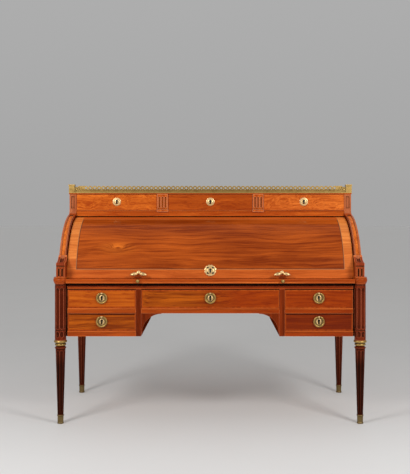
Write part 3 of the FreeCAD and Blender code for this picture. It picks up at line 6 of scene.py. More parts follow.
import bmesh
import bpy
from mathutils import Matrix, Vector

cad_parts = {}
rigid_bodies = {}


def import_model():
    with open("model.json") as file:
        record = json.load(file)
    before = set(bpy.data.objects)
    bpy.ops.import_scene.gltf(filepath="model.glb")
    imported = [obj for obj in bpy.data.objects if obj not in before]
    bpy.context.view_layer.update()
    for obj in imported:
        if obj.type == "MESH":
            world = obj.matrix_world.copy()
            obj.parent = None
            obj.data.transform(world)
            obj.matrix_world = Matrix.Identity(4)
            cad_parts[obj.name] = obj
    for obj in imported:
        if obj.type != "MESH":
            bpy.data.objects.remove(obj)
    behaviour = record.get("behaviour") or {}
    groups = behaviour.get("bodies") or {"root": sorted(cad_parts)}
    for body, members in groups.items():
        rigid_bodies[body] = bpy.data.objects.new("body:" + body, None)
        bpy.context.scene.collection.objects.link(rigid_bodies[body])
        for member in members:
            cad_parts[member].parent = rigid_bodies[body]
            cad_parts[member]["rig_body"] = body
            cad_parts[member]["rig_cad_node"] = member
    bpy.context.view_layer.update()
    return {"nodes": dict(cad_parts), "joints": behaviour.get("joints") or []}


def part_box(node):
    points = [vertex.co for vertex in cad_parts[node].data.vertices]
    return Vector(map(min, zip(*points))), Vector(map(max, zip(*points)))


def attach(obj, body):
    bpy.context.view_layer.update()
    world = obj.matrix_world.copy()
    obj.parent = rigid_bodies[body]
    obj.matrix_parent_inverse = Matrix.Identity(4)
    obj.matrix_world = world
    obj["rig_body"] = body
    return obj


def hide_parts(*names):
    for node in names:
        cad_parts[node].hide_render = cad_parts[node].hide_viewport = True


bl_info = {
    "name": "Cylinder desk",
    "version": (1, 0, 0),
    "blender": (4, 5, 0),
    "location": "View3D > Sidebar > Desk",
    "description": "Dresses the frame of a cylinder desk in polished wood, brass and leather",
    "category": "Object",
}

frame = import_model()
NODES = frame["nodes"]

# Points closer than this are one, and faces bent less than these, on a node and on a pattern
MERGE = 1e-5
NODE_FLAT = math.radians(0.4)
PATTERN_FLAT = math.radians(1)

# A face looks along a direction from this cosine on, and mostly along it from the next
STRAIGHT = 0.9
MOSTLY = 0.7

# Degrees up to which an edge is shaded smooth, on boards and on turned pieces
FLAT_ANGLE = 30
ROUND_ANGLE = 40

FRONT = Vector((0, -1, 0))
UP = Vector((0, 0, 1))
FACING_FRONT = (math.pi / 2, 0, 0)
AXIS = Vector(next(joint["pos_m"] for joint in frame["joints"] if joint["name"] == "cylinder_turn"))
CURVE = max(
    math.hypot(corner.co.y - AXIS.y, corner.co.z - AXIS.z)
    for corner in NODES["cylinder_field"].data.vertices
)

# Place of the small knot in the cylinder's field, with a painted reflection round it
KNOT = Vector((-0.487, -0.2545, 0.9026))

# Each drawer with a key: its veneer and the height of its keyhole
FRIEZE_DRAWERS = {
    "centre": ("centre_veneer", 0.648),
    "left_top": ("left_veneer", 0.648),
    "left_bottom": ("left_low_veneer", 0.526),
    "right_top": ("right_veneer", 0.648),
    "right_bottom": ("right_low_veneer", 0.526),
}
UPPER_DRAWERS = {
    "upper_left": ("upper_veneer", 1.147),
    "upper_middle": ("middle_veneer", 1.147),
    "upper_right": ("pale_veneer", 1.147),
}
KEYED_DRAWERS = {**FRIEZE_DRAWERS, **UPPER_DRAWERS}
INNER_DRAWERS = ("left_inner", "right_inner")


# Sizes and colours that a user would change

# The pieces that show each wood, its light and its dark figure. The darker tones of the upper middle
# drawer, of the centre, right and lower drawers and of the legs are partly their own and partly painted
# shade; the pale pilasters are partly a painted highlight.
WOODS = {
    "field": ("Cylinder field", (0.60, 0.118, 0.011), (0.205, 0.026, 0.001)),
    "upper": ("Upper left drawer", (0.98, 0.260, 0.026), (0.42, 0.064, 0.004)),
    "rail": ("Upper rail", (0.74, 0.170, 0.015), (0.40, 0.060, 0.003)),
    "middle": ("Upper middle drawer", (0.60, 0.120, 0.009), (0.31, 0.042, 0.002)),
    "pale": ("Upper right drawer", (0.98, 0.265, 0.038), (0.43, 0.070, 0.005)),
    "left": ("Left drawers", (0.64, 0.145, 0.009), (0.36, 0.055, 0.003)),
    "centre": ("Centre drawer", (0.58, 0.127, 0.005), (0.195, 0.027, 0.001)),
    "right": ("Right drawers", (0.43, 0.060, 0.002), (0.245, 0.025, 0.001)),
    "low": ("Right bottom drawer", (0.27, 0.033, 0.001), (0.155, 0.014, 0.001)),
    "golden": ("Golden side bands", (0.95, 0.36, 0.085), (0.64, 0.18, 0.032)),
    "band": ("Lower and upper bands", (0.76, 0.180, 0.028), (0.44, 0.078, 0.009)),
    "case": ("Rails, sides and top", (0.56, 0.100, 0.009), (0.28, 0.036, 0.002)),
    "shoulder": ("Curved sides", (0.52, 0.090, 0.014), (0.28, 0.038, 0.004)),
    "console": ("Fluted consoles", (0.36, 0.056, 0.013), (0.18, 0.022, 0.005)),
    "pilaster": ("Upper pilasters", (0.62, 0.20, 0.080), (0.38, 0.095, 0.032)),
    "stile": ("Kneehole stiles", (0.27, 0.034, 0.004), (0.11, 0.012, 0.001)),
    "column": ("Columns", (0.25, 0.036, 0.010), (0.13, 0.015, 0.004)),
    "leg": ("Legs below the collars", (0.050, 0.007, 0.002), (0.018, 0.003, 0.001)),
    "oak": ("Hidden oak boards", (0.52, 0.245, 0.090), (0.30, 0.118, 0.036)),
}

# The pieces that show each metal, its rubbed and its tarnished colour
METALS = {
    "plate": ("Plates and pulls", (0.95, 0.65, 0.31), (0.50, 0.32, 0.10)),
    "brass": ("Rings and gallery", (0.60, 0.39, 0.125), (0.22, 0.12, 0.028)),
    "bronze": ("Foot caps", (0.26, 0.18, 0.075), (0.085, 0.055, 0.024)),
    # Iron: the pivot arms and lock cases, and painted shade round and behind keyholes and piercings
    "iron": ("Pivot arms and key collars", (0.055, 0.052, 0.050), (0.022, 0.021, 0.020)),
}


def colour(label, description, default):
    return bpy.props.FloatVectorProperty(
        name=label, description=description, subtype="COLOR", size=3, min=0, max=1, default=default
    )


def length(label, description, default):
    return bpy.props.FloatProperty(
        name=label, description=description, unit="LENGTH", subtype="DISTANCE", min=0, default=default
    )


def amount(label, description, default, least=0):
    return bpy.props.FloatProperty(name=label, description=description, min=least, default=default)


class DeskFinish(bpy.types.PropertyGroup):
    """Colours of the woods, the metals and the leather."""

    # Rubbed colours lighten ridges and edges: wear, and partly a painted highlight
    rubbed: colour("Rubbed wood", "Ridges and edges that hands and cloths have rubbed", (0.70, 0.19, 0.055))
    rubbed_lit_dark: colour("Rubbed dark wood", "Ridges of the columns and stiles", (0.56, 0.150, 0.070))
    rubbed_lit_leg: colour("Rubbed legs", "Ridges below the collars", (0.16, 0.024, 0.009))
    rubbed_lit_flutes: colour("Rubbed flutes", "Ridges of the small flutes", (0.80, 0.34, 0.17))
    boxwood: colour("Boxwood", "Light line round the field", (0.56, 0.20, 0.065))
    ebony: colour("Ebony", "Dark line round the field", (0.13, 0.030, 0.010))
    leather: colour("Leather", "Lining of the slide", (0.18, 0.066, 0.020))
    # Near-black of the hollows, old polish and painted shade, also laid in the seams of the crossbanding
    grime_and_shade: colour("Grime and shade", "Old polish left in the hollows", (0.012, 0.004, 0.002))
    floor: colour("Floor", "Studio floor", (0.78, 0.775, 0.765))


def add_pairs(finishes, ends):
    """Give the user two colours for each wood or metal."""
    for name, (pieces, *pair) in finishes.items():
        for (end, meaning), default in zip(ends.items(), pair):
            tone = colour(f"{pieces}, {end}", f"{meaning} of the {pieces.lower()}", default)
            DeskFinish.__annotations__[f"{name}_{end}"] = tone


add_pairs(WOODS, {"light": "Light figure", "dark": "Dark figure"})
add_pairs(METALS, {"bright": "Rubbed places", "dull": "Tarnished places"})


class DeskSizes(bpy.types.PropertyGroup):
    """Sizes of the worked edges and inlays."""

    eased_edge: length("Eased edge", "Width of the rubbed edges of the boards", 0.0012)
    top_border: length("Top border", "Banded border over the cylinder's field, along the curve", 0.052)
    border: length("Drawer border", "Banded border round a drawer front", 0.0065)
    string_width: length("Stringing", "Width of each inlaid line", 0.0028)
    band_block: length("Crossband block", "Length of a block of the crossbanding", 0.046)
    hollow: length("Hollow", "Reach within which grime gathers", 0.014)
    ridge: length("Ridge", "Reach within which ridges are rubbed", 0.0025)
    # The key collar is a dark rim of painted shade round a keyhole
    key_collar: length("Key collar", "Width of the dark metal round a keyhole", 0.0023)
    dish_radius: length("Dish radius", "Back dish of a ring pull", 0.0242)
    knob_swell: length("Knob swell", "How much fuller the slide's knobs are than their cores", 0.0022)
    ring_swell: length("Ring swell", "How much fuller the rings are than a plain bar", 0.0011)
    tooling_margin: length("Tooling margin", "Gilt line from the leather's edge", 0.022)
    tooling_width: length("Tooling width", "Width of the broad gilt line", 0.0022)


class DeskStage(bpy.types.PropertyGroup):
    """Camera and light."""

    distance: length("Camera distance", "Camera in front of the desk's middle", 4.5)
    eye_height: length("Eye height", "Camera above the floor", 1.129)
    lens: amount("Lens", "Focal length in millimetres", 61.08, 1)
    shift_right: amount("Shift right", "Share of the picture's height", -0.0112, -1)
    shift_up: amount("Shift up", "Share of the picture's height", -0.0675, -1)
    key_power: amount("Key light", "Power of each of the two soft lamps", 38)
    sky: amount("Sky", "Strength of the even light at the horizon", 0.38)
    sky_rise: amount("Sky rise", "Share by which the light grows overhead", 0.42)


def finish():
    return bpy.context.scene.desk_finish


def sizes():
    return bpy.context.scene.desk_sizes


# Shader building


def feed(tree, node, sockets):
    """Set or link a shader node's sockets."""
    for name, value in sockets.items():
        if isinstance(value, bpy.types.NodeSocket):
            tree.links.new(value, node.inputs[name])
        else:
            node.inputs[name].default_value = value


def add(tree, kind, sockets=None, **settings):
    """A shader node with its settings made and its sockets fed."""
    node = tree.nodes.new(kind)
    for name, value in settings.items():
        setattr(node, name, value)
    feed(tree, node, sockets or {})
    return node


def maths(tree, operation, first, second=0.0, third=0.0):
    sockets = {0: first, 1: second, 2: third}
    return add(tree, "ShaderNodeMath", sockets, operation=operation).outputs[0]


def times(tree, first, second):
    return maths(tree, "MULTIPLY", first, second)


def times_add(tree, first, second, third):
    return maths(tree, "MULTIPLY_ADD", first, second, third)


def less(tree, first, second):
    return maths(tree, "SUBTRACT", first, second)


def blend_of(tree, share, first, second, blend_type="MIX"):
    sockets = {0: share, 6: first, 7: second}
    mix = add(tree, "ShaderNodeMix", sockets, data_type="RGBA", blend_type=blend_type)
    return mix.outputs[2]


def ramp_of(tree, value, low, high):
    """Stretch the values between low and high over nought to one."""
    sockets = {"Value": value, "From Min": low, "From Max": high}
    return add(tree, "ShaderNodeMapRange", sockets).outputs[0]


def vectors(tree, operation, first, second):
    return add(tree, "ShaderNodeVectorMath", {0: first, 1: second}, operation=operation).outputs[0]


def parts_of(tree, vector):
    return add(tree, "ShaderNodeSeparateXYZ", {0: vector}).outputs


def noise(tree, vector, scale, detail, roughness=0.55, distortion=0.0):
    """Noise stretched by a scale for each axis."""
    sockets = {
        "Vector": vectors(tree, "MULTIPLY", vector, scale),
        "Scale": 1.0,
        "Detail": detail,
        "Roughness": roughness,
        "Distortion": distortion,
    }
    return add(tree, "ShaderNodeTexNoise", sockets).outputs["Fac"]


def new_group(name, inputs, outputs):
    tree = bpy.data.node_groups.new(name, "ShaderNodeTree")
    for label, kind in inputs:
        tree.interface.new_socket(label, in_out="INPUT", socket_type="NodeSocket" + kind)
    for label, kind in outputs:
        tree.interface.new_socket(label, in_out="OUTPUT", socket_type="NodeSocket" + kind)
    return tree, tree.nodes.new("NodeGroupInput").outputs, tree.nodes.new("NodeGroupOutput")


def floats(names):
    return [(name, "Float") for name in names]


def group_in(tree, name, sockets):
    return add(tree, "ShaderNodeGroup", sockets, node_tree=bpy.data.node_groups[name]).outputs


def wood_group():
    """Streaks, flame, dark veins, fibres and pores of a wood whose grain runs along X."""
    amounts = ("Figure", "Veins", "Pores", "Swirl")
    tree, given, put = new_group(
        "Wood grain",
        [("Vector", "Vector"), ("Light", "Color"), ("Dark", "Color"), *floats(amounts)],
        [("Color", "Color"), ("Roughness", "Float"), ("Height", "Float")],
    )
    vector = given["Vector"]
    sway = noise(tree, vector, (1.7, 3.2, 3.2), 2.0)
    swirl = times(tree, noise(tree, vector, (5.5, 9.0, 9.0), 1.0), given["Swirl"])
    bend = times_add(tree, sway, 0.075, swirl)
    shove = add(tree, "ShaderNodeCombineXYZ", {"Y": bend, "Z": bend}).outputs[0]
    swayed = vectors(tree, "ADD", vector, shove)
    streaks = ramp_of(tree, noise(tree, swayed, (1.4, 58.0, 58.0), 4.0, 0.65), 0.33, 0.67)
    flame = ramp_of(tree, noise(tree, swayed, (2.0, 9.0, 9.0), 3.0, 0.5, 0.8), 0.31, 0.69)
    clouds = ramp_of(tree, noise(tree, vector, (1.6, 4.5, 4.5), 2.0), 0.3, 0.7)
    fibres = noise(tree, swayed, (7.0, 260.0, 260.0), 3.0, 0.6)
    rings = noise(tree, swayed, (1.8, 90.0, 90.0), 2.0)
    off_vein = maths(tree, "ABSOLUTE", less(tree, rings, 0.5))
    veins = times(tree, ramp_of(tree, off_vein, 0.05, 0.0), given["Veins"])
    pores = ramp_of(tree, noise(tree, vector, (150.0, 2000.0, 2000.0), 1.0), 0.60, 0.72)
    pores = times(tree, pores, given["Pores"])
    tone = times_add(tree, less(tree, flame, streaks), given["Figure"], streaks)
    tone = times_add(tree, less(tree, fibres, 0.5), 0.8, tone)
    tone = times_add(tree, less(tree, clouds, 0.5), 0.35, tone)
    tone = add(tree, "ShaderNodeClamp", {"Value": less(tree, tone, veins)}).outputs[0]
    body = blend_of(tree, tone, given["Dark"], given["Light"])
    sockets = {
        "Color": blend_of(tree, pores, body, given["Dark"], "MULTIPLY"),
        "Roughness": times_add(tree, fibres, 0.16, 0.30),
        "Height": times_add(tree, pores, -1.0, fibres),
    }
    feed(tree, put, sockets)


def patina_group():
    """Rubbed and tarnished places of old metal."""
    tree, given, put = new_group(
        "Patina",
        [("Vector", "Vector"), ("Bright", "Color"), ("Dull", "Color"), ("Wear", "Float")],
        [("Color", "Color"), ("Roughness", "Float"), ("Height", "Float")],
    )
    clouds = noise(tree, given["Vector"], (38.0, 38.0, 38.0), 4.0)
    specks = noise(tree, given["Vector"], (420.0, 420.0, 420.0), 3.0, 0.7)
    dull = times_add(tree, specks, 0.45, times(tree, clouds, 0.75))
    dull = times(tree, ramp_of(tree, dull, 0.42, 0.86), given["Wear"])
    sockets = {
        "Color": blend_of(tree, dull, given["Bright"], given["Dull"]),
        "Roughness": times_add(tree, dull, 0.2, 0.38),
        "Height": specks,
    }
    feed(tree, put, sockets)


def age_group():
    """Painted shade and old polish, dark in flutes, hollows and corners, and ridges rubbed pale with a
    painted highlight.

    Hollow and Ridge are the openness, seen from outside and from inside, at which each is full.
    """
    amounts = ("Grime and shade", "Hollow", "Wear", "Ridge")
    tree, given, put = new_group(
        "Age",
        [("Color", "Color"), ("Worn", "Color"), *floats(amounts)],
        [("Color", "Color"), ("Clean", "Float")],
    )

    def closed(reach, inside, full):
        sockets = {"Distance": reach}
        node = add(tree, "ShaderNodeAmbientOcclusion", sockets, only_local=True, inside=inside, samples=8)
        shut = less(tree, 1.0, node.outputs["AO"])
        share = maths(tree, "DIVIDE", shut, less(tree, 1.0, full))
        return ramp_of(tree, share, 0.15, 1.0)

    # Ridges paler from inside occlusion: wear and a painted highlight; hollows darker from outside
    # occlusion: old polish and painted shade.
    rubbed = times(tree, closed(sizes().ridge, True, given["Ridge"]), given["Wear"])
    hollow = times(tree, closed(sizes().hollow, False, given["Hollow"]), given["Grime and shade"])
    worn = blend_of(tree, rubbed, given["Color"], given["Worn"])
    grimy_and_shaded = blend_of(tree, hollow, worn, rgba(finish().grime_and_shade))
    feed(tree, put, {"Color": grimy_and_shaded, "Clean": less(tree, 1.0, hollow)})


def new_material(name):
    """A material's tree, its shader and the place of a point on the piece."""
    material = bpy.data.materials.new(name)
    material.use_nodes = True
    tree = material.node_tree
    place = add(tree, "ShaderNodeTexCoord").outputs["Object"]
    return tree, tree.nodes["Principled BSDF"], place


def bump_of(tree, height, distance=0.0003, strength=0.1):
    sockets = {"Height": height, "Distance": distance, "Strength": strength}
    return add(tree, "ShaderNodeBump", sockets).outputs[0]


def rgba(value):
    return (*value, 1.0)


def tones(name, ends=("light", "dark")):
    """The two colours of a wood or a metal."""
    return [rgba(getattr(finish(), f"{name}_{end}")) for end in ends]


GRAIN_TURN = {"X": (0, 0, 0), "Y": (0, 0, -math.pi / 2), "Z": (0, math.pi / 2, 0)}


def turned_grain(tree, place, grain, shift=(0, 0, 0)):
    """Turn the grain along an axis; shift picks another part of the tree."""
    sockets = {"Vector": place, "Location": shift, "Rotation": GRAIN_TURN[grain]}
    return add(tree, "ShaderNodeMapping", sockets).outputs[0]


# Tint that old polish gives to reflections
AMBER = (1.0, 0.78, 0.55, 1.0)


def graded(tree, place, axis, start, end, first, second):
    """How far along an axis a point lies, and the tones that pass there from one wood's to another's."""
    share = ramp_of(tree, parts_of(tree, place)[axis], start, end)
    return share, [blend_of(tree, share, one, other) for one, other in zip(tones(first), tones(second))]


def grain_of(tree, vector, pair, figure, veins, pores, swirl=0.0):
    """Grain along X of a vector, in a light and a dark colour."""
    light, dark = pair
    sockets = {
        "Vector": vector,
        "Light": light,
        "Dark": dark,
        "Figure": figure,
        "Veins": veins,
        "Pores": pores,
        "Swirl": swirl,
    }
    return group_in(tree, "Wood grain", sockets)


def age_of(tree, plain, worn, grime_and_shade, wear, hollow=0.55, ridge=0.5):
    sockets = {"Color": plain, "Worn": worn, "Grime and shade": grime_and_shade, "Wear": wear, "Hollow": hollow, "Ridge": ridge}
    return group_in(tree, "Age", sockets)


# Amounts of old polish with painted shade in the hollows, and of wear with a painted highlight on the
# ridges
FLAT = {"grime_and_shade": 0.3, "wear": 0.0}
FLUTED = {"grime_and_shade": 0.98, "hollow": 0.89, "wear": 0.95, "ridge": 0.76}


def varnish(tree, shader, grain, worn, polish=0.22, gloss=0.06, grime_and_shade=0.8, wear=0.5, **reach):
    """Lay polish over a wood, with old polish and painted shade dark in its hollows, and its rubbed ridges
    paler with a painted highlight.
    """
    aged = age_of(tree, grain["Color"], worn, grime_and_shade, wear, **reach)
    sockets = {
        "Base Color": aged["Color"],
        "Roughness": grain["Roughness"],
        "Coat Weight": times(tree, aged["Clean"], polish) if polish else 0.0,
        "Normal": bump_of(tree, grain["Height"]),
        "Specular IOR Level": gloss,
        "Specular Tint": AMBER,
        "Coat Roughness": 0.07,
        "Coat Tint": AMBER,
    }
    feed(tree, shader, sockets)


def wood(
    name, tone, grain="X", figure=0.3, veins=0.35, pores=0.6, shift=(0, 0, 0), swirl=0.0, fade=None, **age
):
    """A polished wood; fade gives two places along X and the tone that it passes to between them."""
    tree, shader, place = new_material(name)
    pair = tones(tone)
    if fade:
        start, end, other = fade
        _, pair = graded(tree, place, "X", start, end, tone, other)
    veneer = grain_of(tree, turned_grain(tree, place, grain, shift), pair, figure, veins, pores, swirl)
    varnish(tree, shader, veneer, **{"worn": rgba(finish().rubbed), **age})


def leg_wood(name, shade_below):
    """Dark red wood that is darker still towards the foot, as painted shade."""
    tree, shader, place = new_material(name)
    collar_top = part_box("leg_collars")[1].z
    above, pair = graded(tree, place, "Z", shade_below, collar_top, "leg", "column")
    grain = grain_of(tree, turned_grain(tree, place, "Z"), pair, figure=0.25, veins=0.3, pores=0.5)
    worn = blend_of(tree, above, rgba(finish().rubbed_lit_leg), rgba(finish().rubbed_lit_dark))
    varnish(tree, shader, grain, worn, polish=0.05, gloss=0.03, **FLUTED)


def field_veneer():
    """Flame veneer whose grain bends round a small knot, paler round it as a painted reflection."""
    reach, bend_depth, heart_edge, heart_core = 0.05, 0.03, 0.008, 0.003
    tree, shader, place = new_material("field_veneer")
    from_knot = vectors(tree, "MULTIPLY", vectors(tree, "SUBTRACT", place, KNOT), (0.4, 1.0, 1.0))
    distance = add(tree, "ShaderNodeVectorMath", {0: from_knot}, operation="LENGTH").outputs["Value"]
    near = ramp_of(tree, distance, reach, 0.0)
    bend = times(tree, maths(tree, "POWER", near, 2.0), bend_depth)
    shove = add(tree, "ShaderNodeCombineXYZ", {"Y": bend, "Z": bend}).outputs[0]
    heart = ramp_of(tree, distance, heart_edge, heart_core)
    light, dark = tones("field")
    painted_glint = blend_of(tree, times(tree, near, 0.7), light, tones("upper")[0])
    knotted = blend_of(tree, times(tree, heart, 0.8), painted_glint, dark)
    vector = vectors(tree, "ADD", turned_grain(tree, place, "X", (0.3, 0.2, 0.1)), shove)
    grain = grain_of(tree, vector, (knotted, dark), figure=0.45, veins=0.3, pores=0.35)
    varnish(tree, shader, grain, rgba(finish().rubbed), polish=0.17, **FLAT)


def crossband_veneer():
    """Golden veneer laid across the curve in short blocks, pinker towards the bottom."""
    other_side, seam_width, high_up, low_down = 40.0, 0.014, 1.1, 0.2
    tree, shader, place = new_material("crossband_veneer")
    from_axis = parts_of(tree, vectors(tree, "SUBTRACT", place, AXIS))
    angle = maths(tree, "ARCTAN2", from_axis["Z"], times(tree, from_axis["Y"], -1.0))
    count = times(tree, angle, CURVE / sizes().band_block)
    side = maths(tree, "SIGN", from_axis["X"])
    number = times_add(tree, side, other_side, maths(tree, "FLOOR", count))
    leaf = add(tree, "ShaderNodeTexWhiteNoise", {"W": number}, noise_dimensions="1D").outputs["Value"]
    other_leaf = vectors(tree, "MULTIPLY_ADD", leaf, (5.0, 3.0, 7.0))
    pinker = times(tree, times_add(tree, leaf, 0.5, ramp_of(tree, angle, high_up, low_down)), 0.6)
    pairs = zip(tones("golden"), tones("band"))
    light, dark = [blend_of(tree, pinker, golden, pink) for golden, pink in pairs]
    seam = ramp_of(tree, maths(tree, "PINGPONG", count, 0.5), seam_width, 0.0)
    seamed = blend_of(tree, times(tree, seam, 0.7), dark, rgba(finish().grime_and_shade))
    grain = grain_of(
        tree,
        vectors(tree, "ADD", place, other_leaf),
        (light, seamed),
        figure=times_add(tree, seam, -0.2, 0.2),
        veins=times_add(tree, seam, 0.8, 0.2),
        pores=0.35,
    )
    varnish(tree, shader, grain, rgba(finish().rubbed), **FLAT)


def line_wood(name, tone):
    """Plain fine wood of an inlaid line."""
    tree, shader, place = new_material(name)
    fibres = noise(tree, place, (60.0, 400.0, 400.0), 2.0)
    darker = rgba([part * 0.6 for part in tone])
    sockets = {
        "Base Color": blend_of(tree, fibres, darker, rgba(tone)),
        "Roughness": times_add(tree, fibres, 0.15, 0.3),
        "Specular IOR Level": 0.12,
    }
    feed(tree, shader, sockets)


def metal(name, tone, wear, grime_and_shade=0.85):
    """Old brass, bronze or iron, bright where it is rubbed."""
    tree, shader, place = new_material(name)
    bright, dull = tones(tone, ("bright", "dull"))
    patina = group_in(tree, "Patina", {"Vector": place, "Bright": bright, "Dull": dull, "Wear": wear})
    sockets = {
        # Ridges lightened and hollows darkened by occlusion: wear and tarnish, and partly painted highlight
        # and painted shade
        "Base Color": age_of(tree, patina["Color"], bright, grime_and_shade, wear=0.6)["Color"],
        "Roughness": patina["Roughness"],
        "Normal": bump_of(tree, patina["Height"]),
        "Metallic": 1.0,
    }
    feed(tree, shader, sockets)


def leather():
    """Old hide: small pebbles, and paler where it is rubbed."""
    tree, shader, place = new_material("leather")
    pebbles = add(tree, "ShaderNodeTexVoronoi", {"Vector": place, "Scale": 620.0}).outputs["Distance"]
    clouds = noise(tree, place, (9.0, 9.0, 9.0), 5.0)
    tone = finish().leather
    worn = rgba([min(1.0, part * 1.9) for part in tone])
    sockets = {
        "Base Color": blend_of(tree, ramp_of(tree, clouds, 0.35, 0.7), rgba(tone), worn),
        "Roughness": times_add(tree, clouds, 0.2, 0.38),
        "Normal": bump_of(tree, pebbles, 0.0008, 0.35),
        "Specular IOR Level": 0.12,
        "Specular Tint": AMBER,
    }
    feed(tree, shader, sockets)


def make_materials():
    """Every finish of the desk."""
    wood_group()
    patina_group()
    age_group()
    dark = {"worn": rgba(finish().rubbed_lit_dark), "polish": 0.1, "wear": 0.9}
    matt = {"polish": 0.0, "gloss": 0.0}
    carved = {**FLUTED, "grime_and_shade": 0.85, "wear": 0.8}
    lined = {**FLUTED, "grime_and_shade": 0.45, "worn": rgba(finish().rubbed_lit_flutes)}
    railed = {"grime_and_shade": 0.3, "wear": 0.9}
    bare = {"polish": 0.0, "grime_and_shade": 0.5, "wear": 0.0}
    field_veneer()
    wood("band_veneer", "band", "X", 0.30, 0.3, 0.4, (0.9, 0.0, 2.2), **FLAT)
    wood("upper_veneer", "upper", "X", 0.45, 0.4, 0.4, (1.7, 0.4, 0.9), 0.2)
    wood("middle_veneer", "middle", "X", 0.45, 0.4, 0.4, (2.3, 1.9, 0.2), 0.05)
    wood("pale_veneer", "pale", "X", 0.45, 0.4, 0.4, (0.6, 2.7, 1.1), 0.2)
    wood("rail_veneer", "rail", "X", 0.30, 0.4, 0.4, (3.1, 0.9, 1.6))
    wood("left_veneer", "left", "X", 0.20, 0.5, 0.5, (0.2, 1.4, 0.35))
    # Lower, right and centre drawers in darker tones, the centre drawer darker towards the right: partly
    # painted shade
    wood("left_low_veneer", "centre", "X", 0.20, 0.5, 0.5, (1.3, 0.6, 2.3))
    wood("centre_veneer", "centre", "X", 0.25, 0.45, 0.5, (4.2, 0.8, 0.15), fade=(-0.1, 0.15, "right"))
    wood("right_veneer", "right", "X", 0.25, 0.45, 0.5, (2.9, 2.4, 0.6))
    wood("right_low_veneer", "low", "X", 0.25, 0.45, 0.5, (1.1, 3.3, 0.2))
    # Pale bead: a painted highlight where the beads catch the light
    wood("lit_bead_wood", "band", "X", 0.20, 0.3, 0.4, (1.9, 0.3, 0.8), **FLAT)
    wood("border_veneer", "case", "Z", 0.20, 0.3, 0.4, (0.0, 0.7, 0.0))
    wood("carved_wood", "console", "Z", shift=(0.5, 0.0, 0.0), **carved)
    wood("triglyph_wood", "rail", "Z", shift=(0.2, 0.0, 0.0), **lined)
    wood("pilaster_wood", "pilaster", "Z")
    # Rails darker towards the right: painted shade
    wood("rail_wood", "case", "X", shift=(0.7, 1.1, 0.0), fade=(-0.2, 0.4, "right"), **railed)
    wood("case_along", "case", "X", shift=(0.0, 1.1, 0.0))
    wood("case_upright", "case", "Z", shift=(0.5, 0.0, 0.0))
    wood("case_deep", "case", "Y")
    wood("shoulder_wood", "shoulder", "Z", shift=(0.5, 0.0, 0.0))
    # Dark stile wood, also laid as painted shade on the edges and outlines of drawer fronts, on beads in
    # shade and on the curved sides' inner faces
    wood("stile_and_shade_wood", "stile", "Z", 0.25, 0.3, 0.6, **dark)
    wood("shadow_wood", "leg", "X", 0.25, 0.3, 0.6, **dark)
    wood("hollow_wood", "stile", "Z", 0.25, 0.3, 0.6, **matt)
    # The kneehole's sides: the dark stile tone here is painted shade
    wood("knee_wood", "stile", "Y", 0.25, 0.3, 0.6, **matt)
    wood("shoulder_panel", "pale", "Z", 0.30, 0.35, 0.4, (0.8, 0.0, 0.0), **FLAT)
    wood("oak_along", "oak", "X", 0.15, 0.3, 0.9, **bare)
    wood("oak_deep", "oak", "Y", 0.15, 0.3, 0.9, **bare)
    # Front legs darken from below the collars, back legs from the floor up: painted shade
    fade_length = 0.1
    leg_wood("leg_wood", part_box("leg_collars")[0].z - fade_length)
    leg_wood("back_leg_wood", 0.0)
    crossband_veneer()
    line_wood("boxwood_line", finish().boxwood)
    line_wood("ebony_line", finish().ebony)
    metal("bright_brass", "plate", 0.5)
    metal("dark_brass", "brass", 0.9)
    metal("gilding", "plate", 0.35, 0.0)
    metal("foot_bronze", "bronze", 0.9)
    metal("dark_iron_and_shade", "iron", 1.0)
    leather()


# Modelling


def finish_of(name):
    return bpy.data.materials[name]


def only(piece):
    """Make one piece the sole selected and the active one."""
    bpy.ops.object.select_all(action="DESELECT")
    piece.select_set(True)
    bpy.context.view_layer.objects.active = piece


def edit(piece):
    only(piece)
    bpy.ops.object.mode_set(mode="EDIT")
    bpy.ops.mesh.select_mode(type="FACE")
    bpy.ops.mesh.select_all(action="DESELECT")


def done():
    bpy.ops.object.mode_set(mode="OBJECT")


def pick_all():
    bpy.ops.mesh.select_all(action="SELECT")


def pick_faces(piece, wanted):
    """In edit mode, select the faces that a test on a face picks."""
    bpy.ops.mesh.select_all(action="DESELECT")
    mesh = bmesh.from_edit_mesh(piece.data)
    for face in mesh.faces:
        if wanted(face):
            face.select_set(True)
    mesh.select_flush_mode()
    bmesh.update_edit_mesh(piece.data)


def paint_picked(piece, name):
    """In edit mode, give the selected faces another finish."""
    material = finish_of(name)
    if material.name not in piece.data.materials:
        piece.data.materials.append(material)
    piece.active_material_index = piece.data.materials.find(material.name)
    bpy.ops.object.material_slot_assign()


def paint_where(piece, wanted, name):
    """In edit mode, give the faces that a test picks another finish."""
    pick_faces(piece, wanted)
    paint_picked(piece, name)


def repaint(piece, *finishes):
    """Give the faces that each test picks another finish, one after the other."""
    edit(piece)
    for wanted, name in finishes:
        paint_where(piece, wanted, name)
    done()


def inlay(piece, *steps):
    """In edit mode, inset the selected faces step by step and finish what lies inside each line."""
    for width, name in steps:
        bpy.ops.mesh.inset(thickness=width)
        paint_picked(piece, name)


def split(piece, place, normal):
    """Part the faces of a piece along a plane."""
    edit(piece)
    pick_all()
    bpy.ops.mesh.bisect(plane_co=place, plane_no=normal)
    done()


def middle_of(face):
    return face.calc_center_median()


def outward(face):
    """Whether a face looks away from the cylinder's axis."""
    from_axis = middle_of(face) - AXIS
    from_axis.x = 0
    return face.normal.dot(from_axis.normalized()) > STRAIGHT


def faces_front(face):
    return face.normal.dot(FRONT) > STRAIGHT


def smooth(piece, degrees=FLAT_ANGLE):
    only(piece)
    bpy.ops.object.shade_smooth_by_angle(angle=math.radians(degrees))


def swell(piece, wanted, depth):
    """Make the faces that a test picks stand out, in the round."""
    edit(piece)
    pick_faces(piece, wanted)
    bpy.ops.transform.shrink_fatten(value=depth)
    done()
    smooth(piece, ROUND_ANGLE)


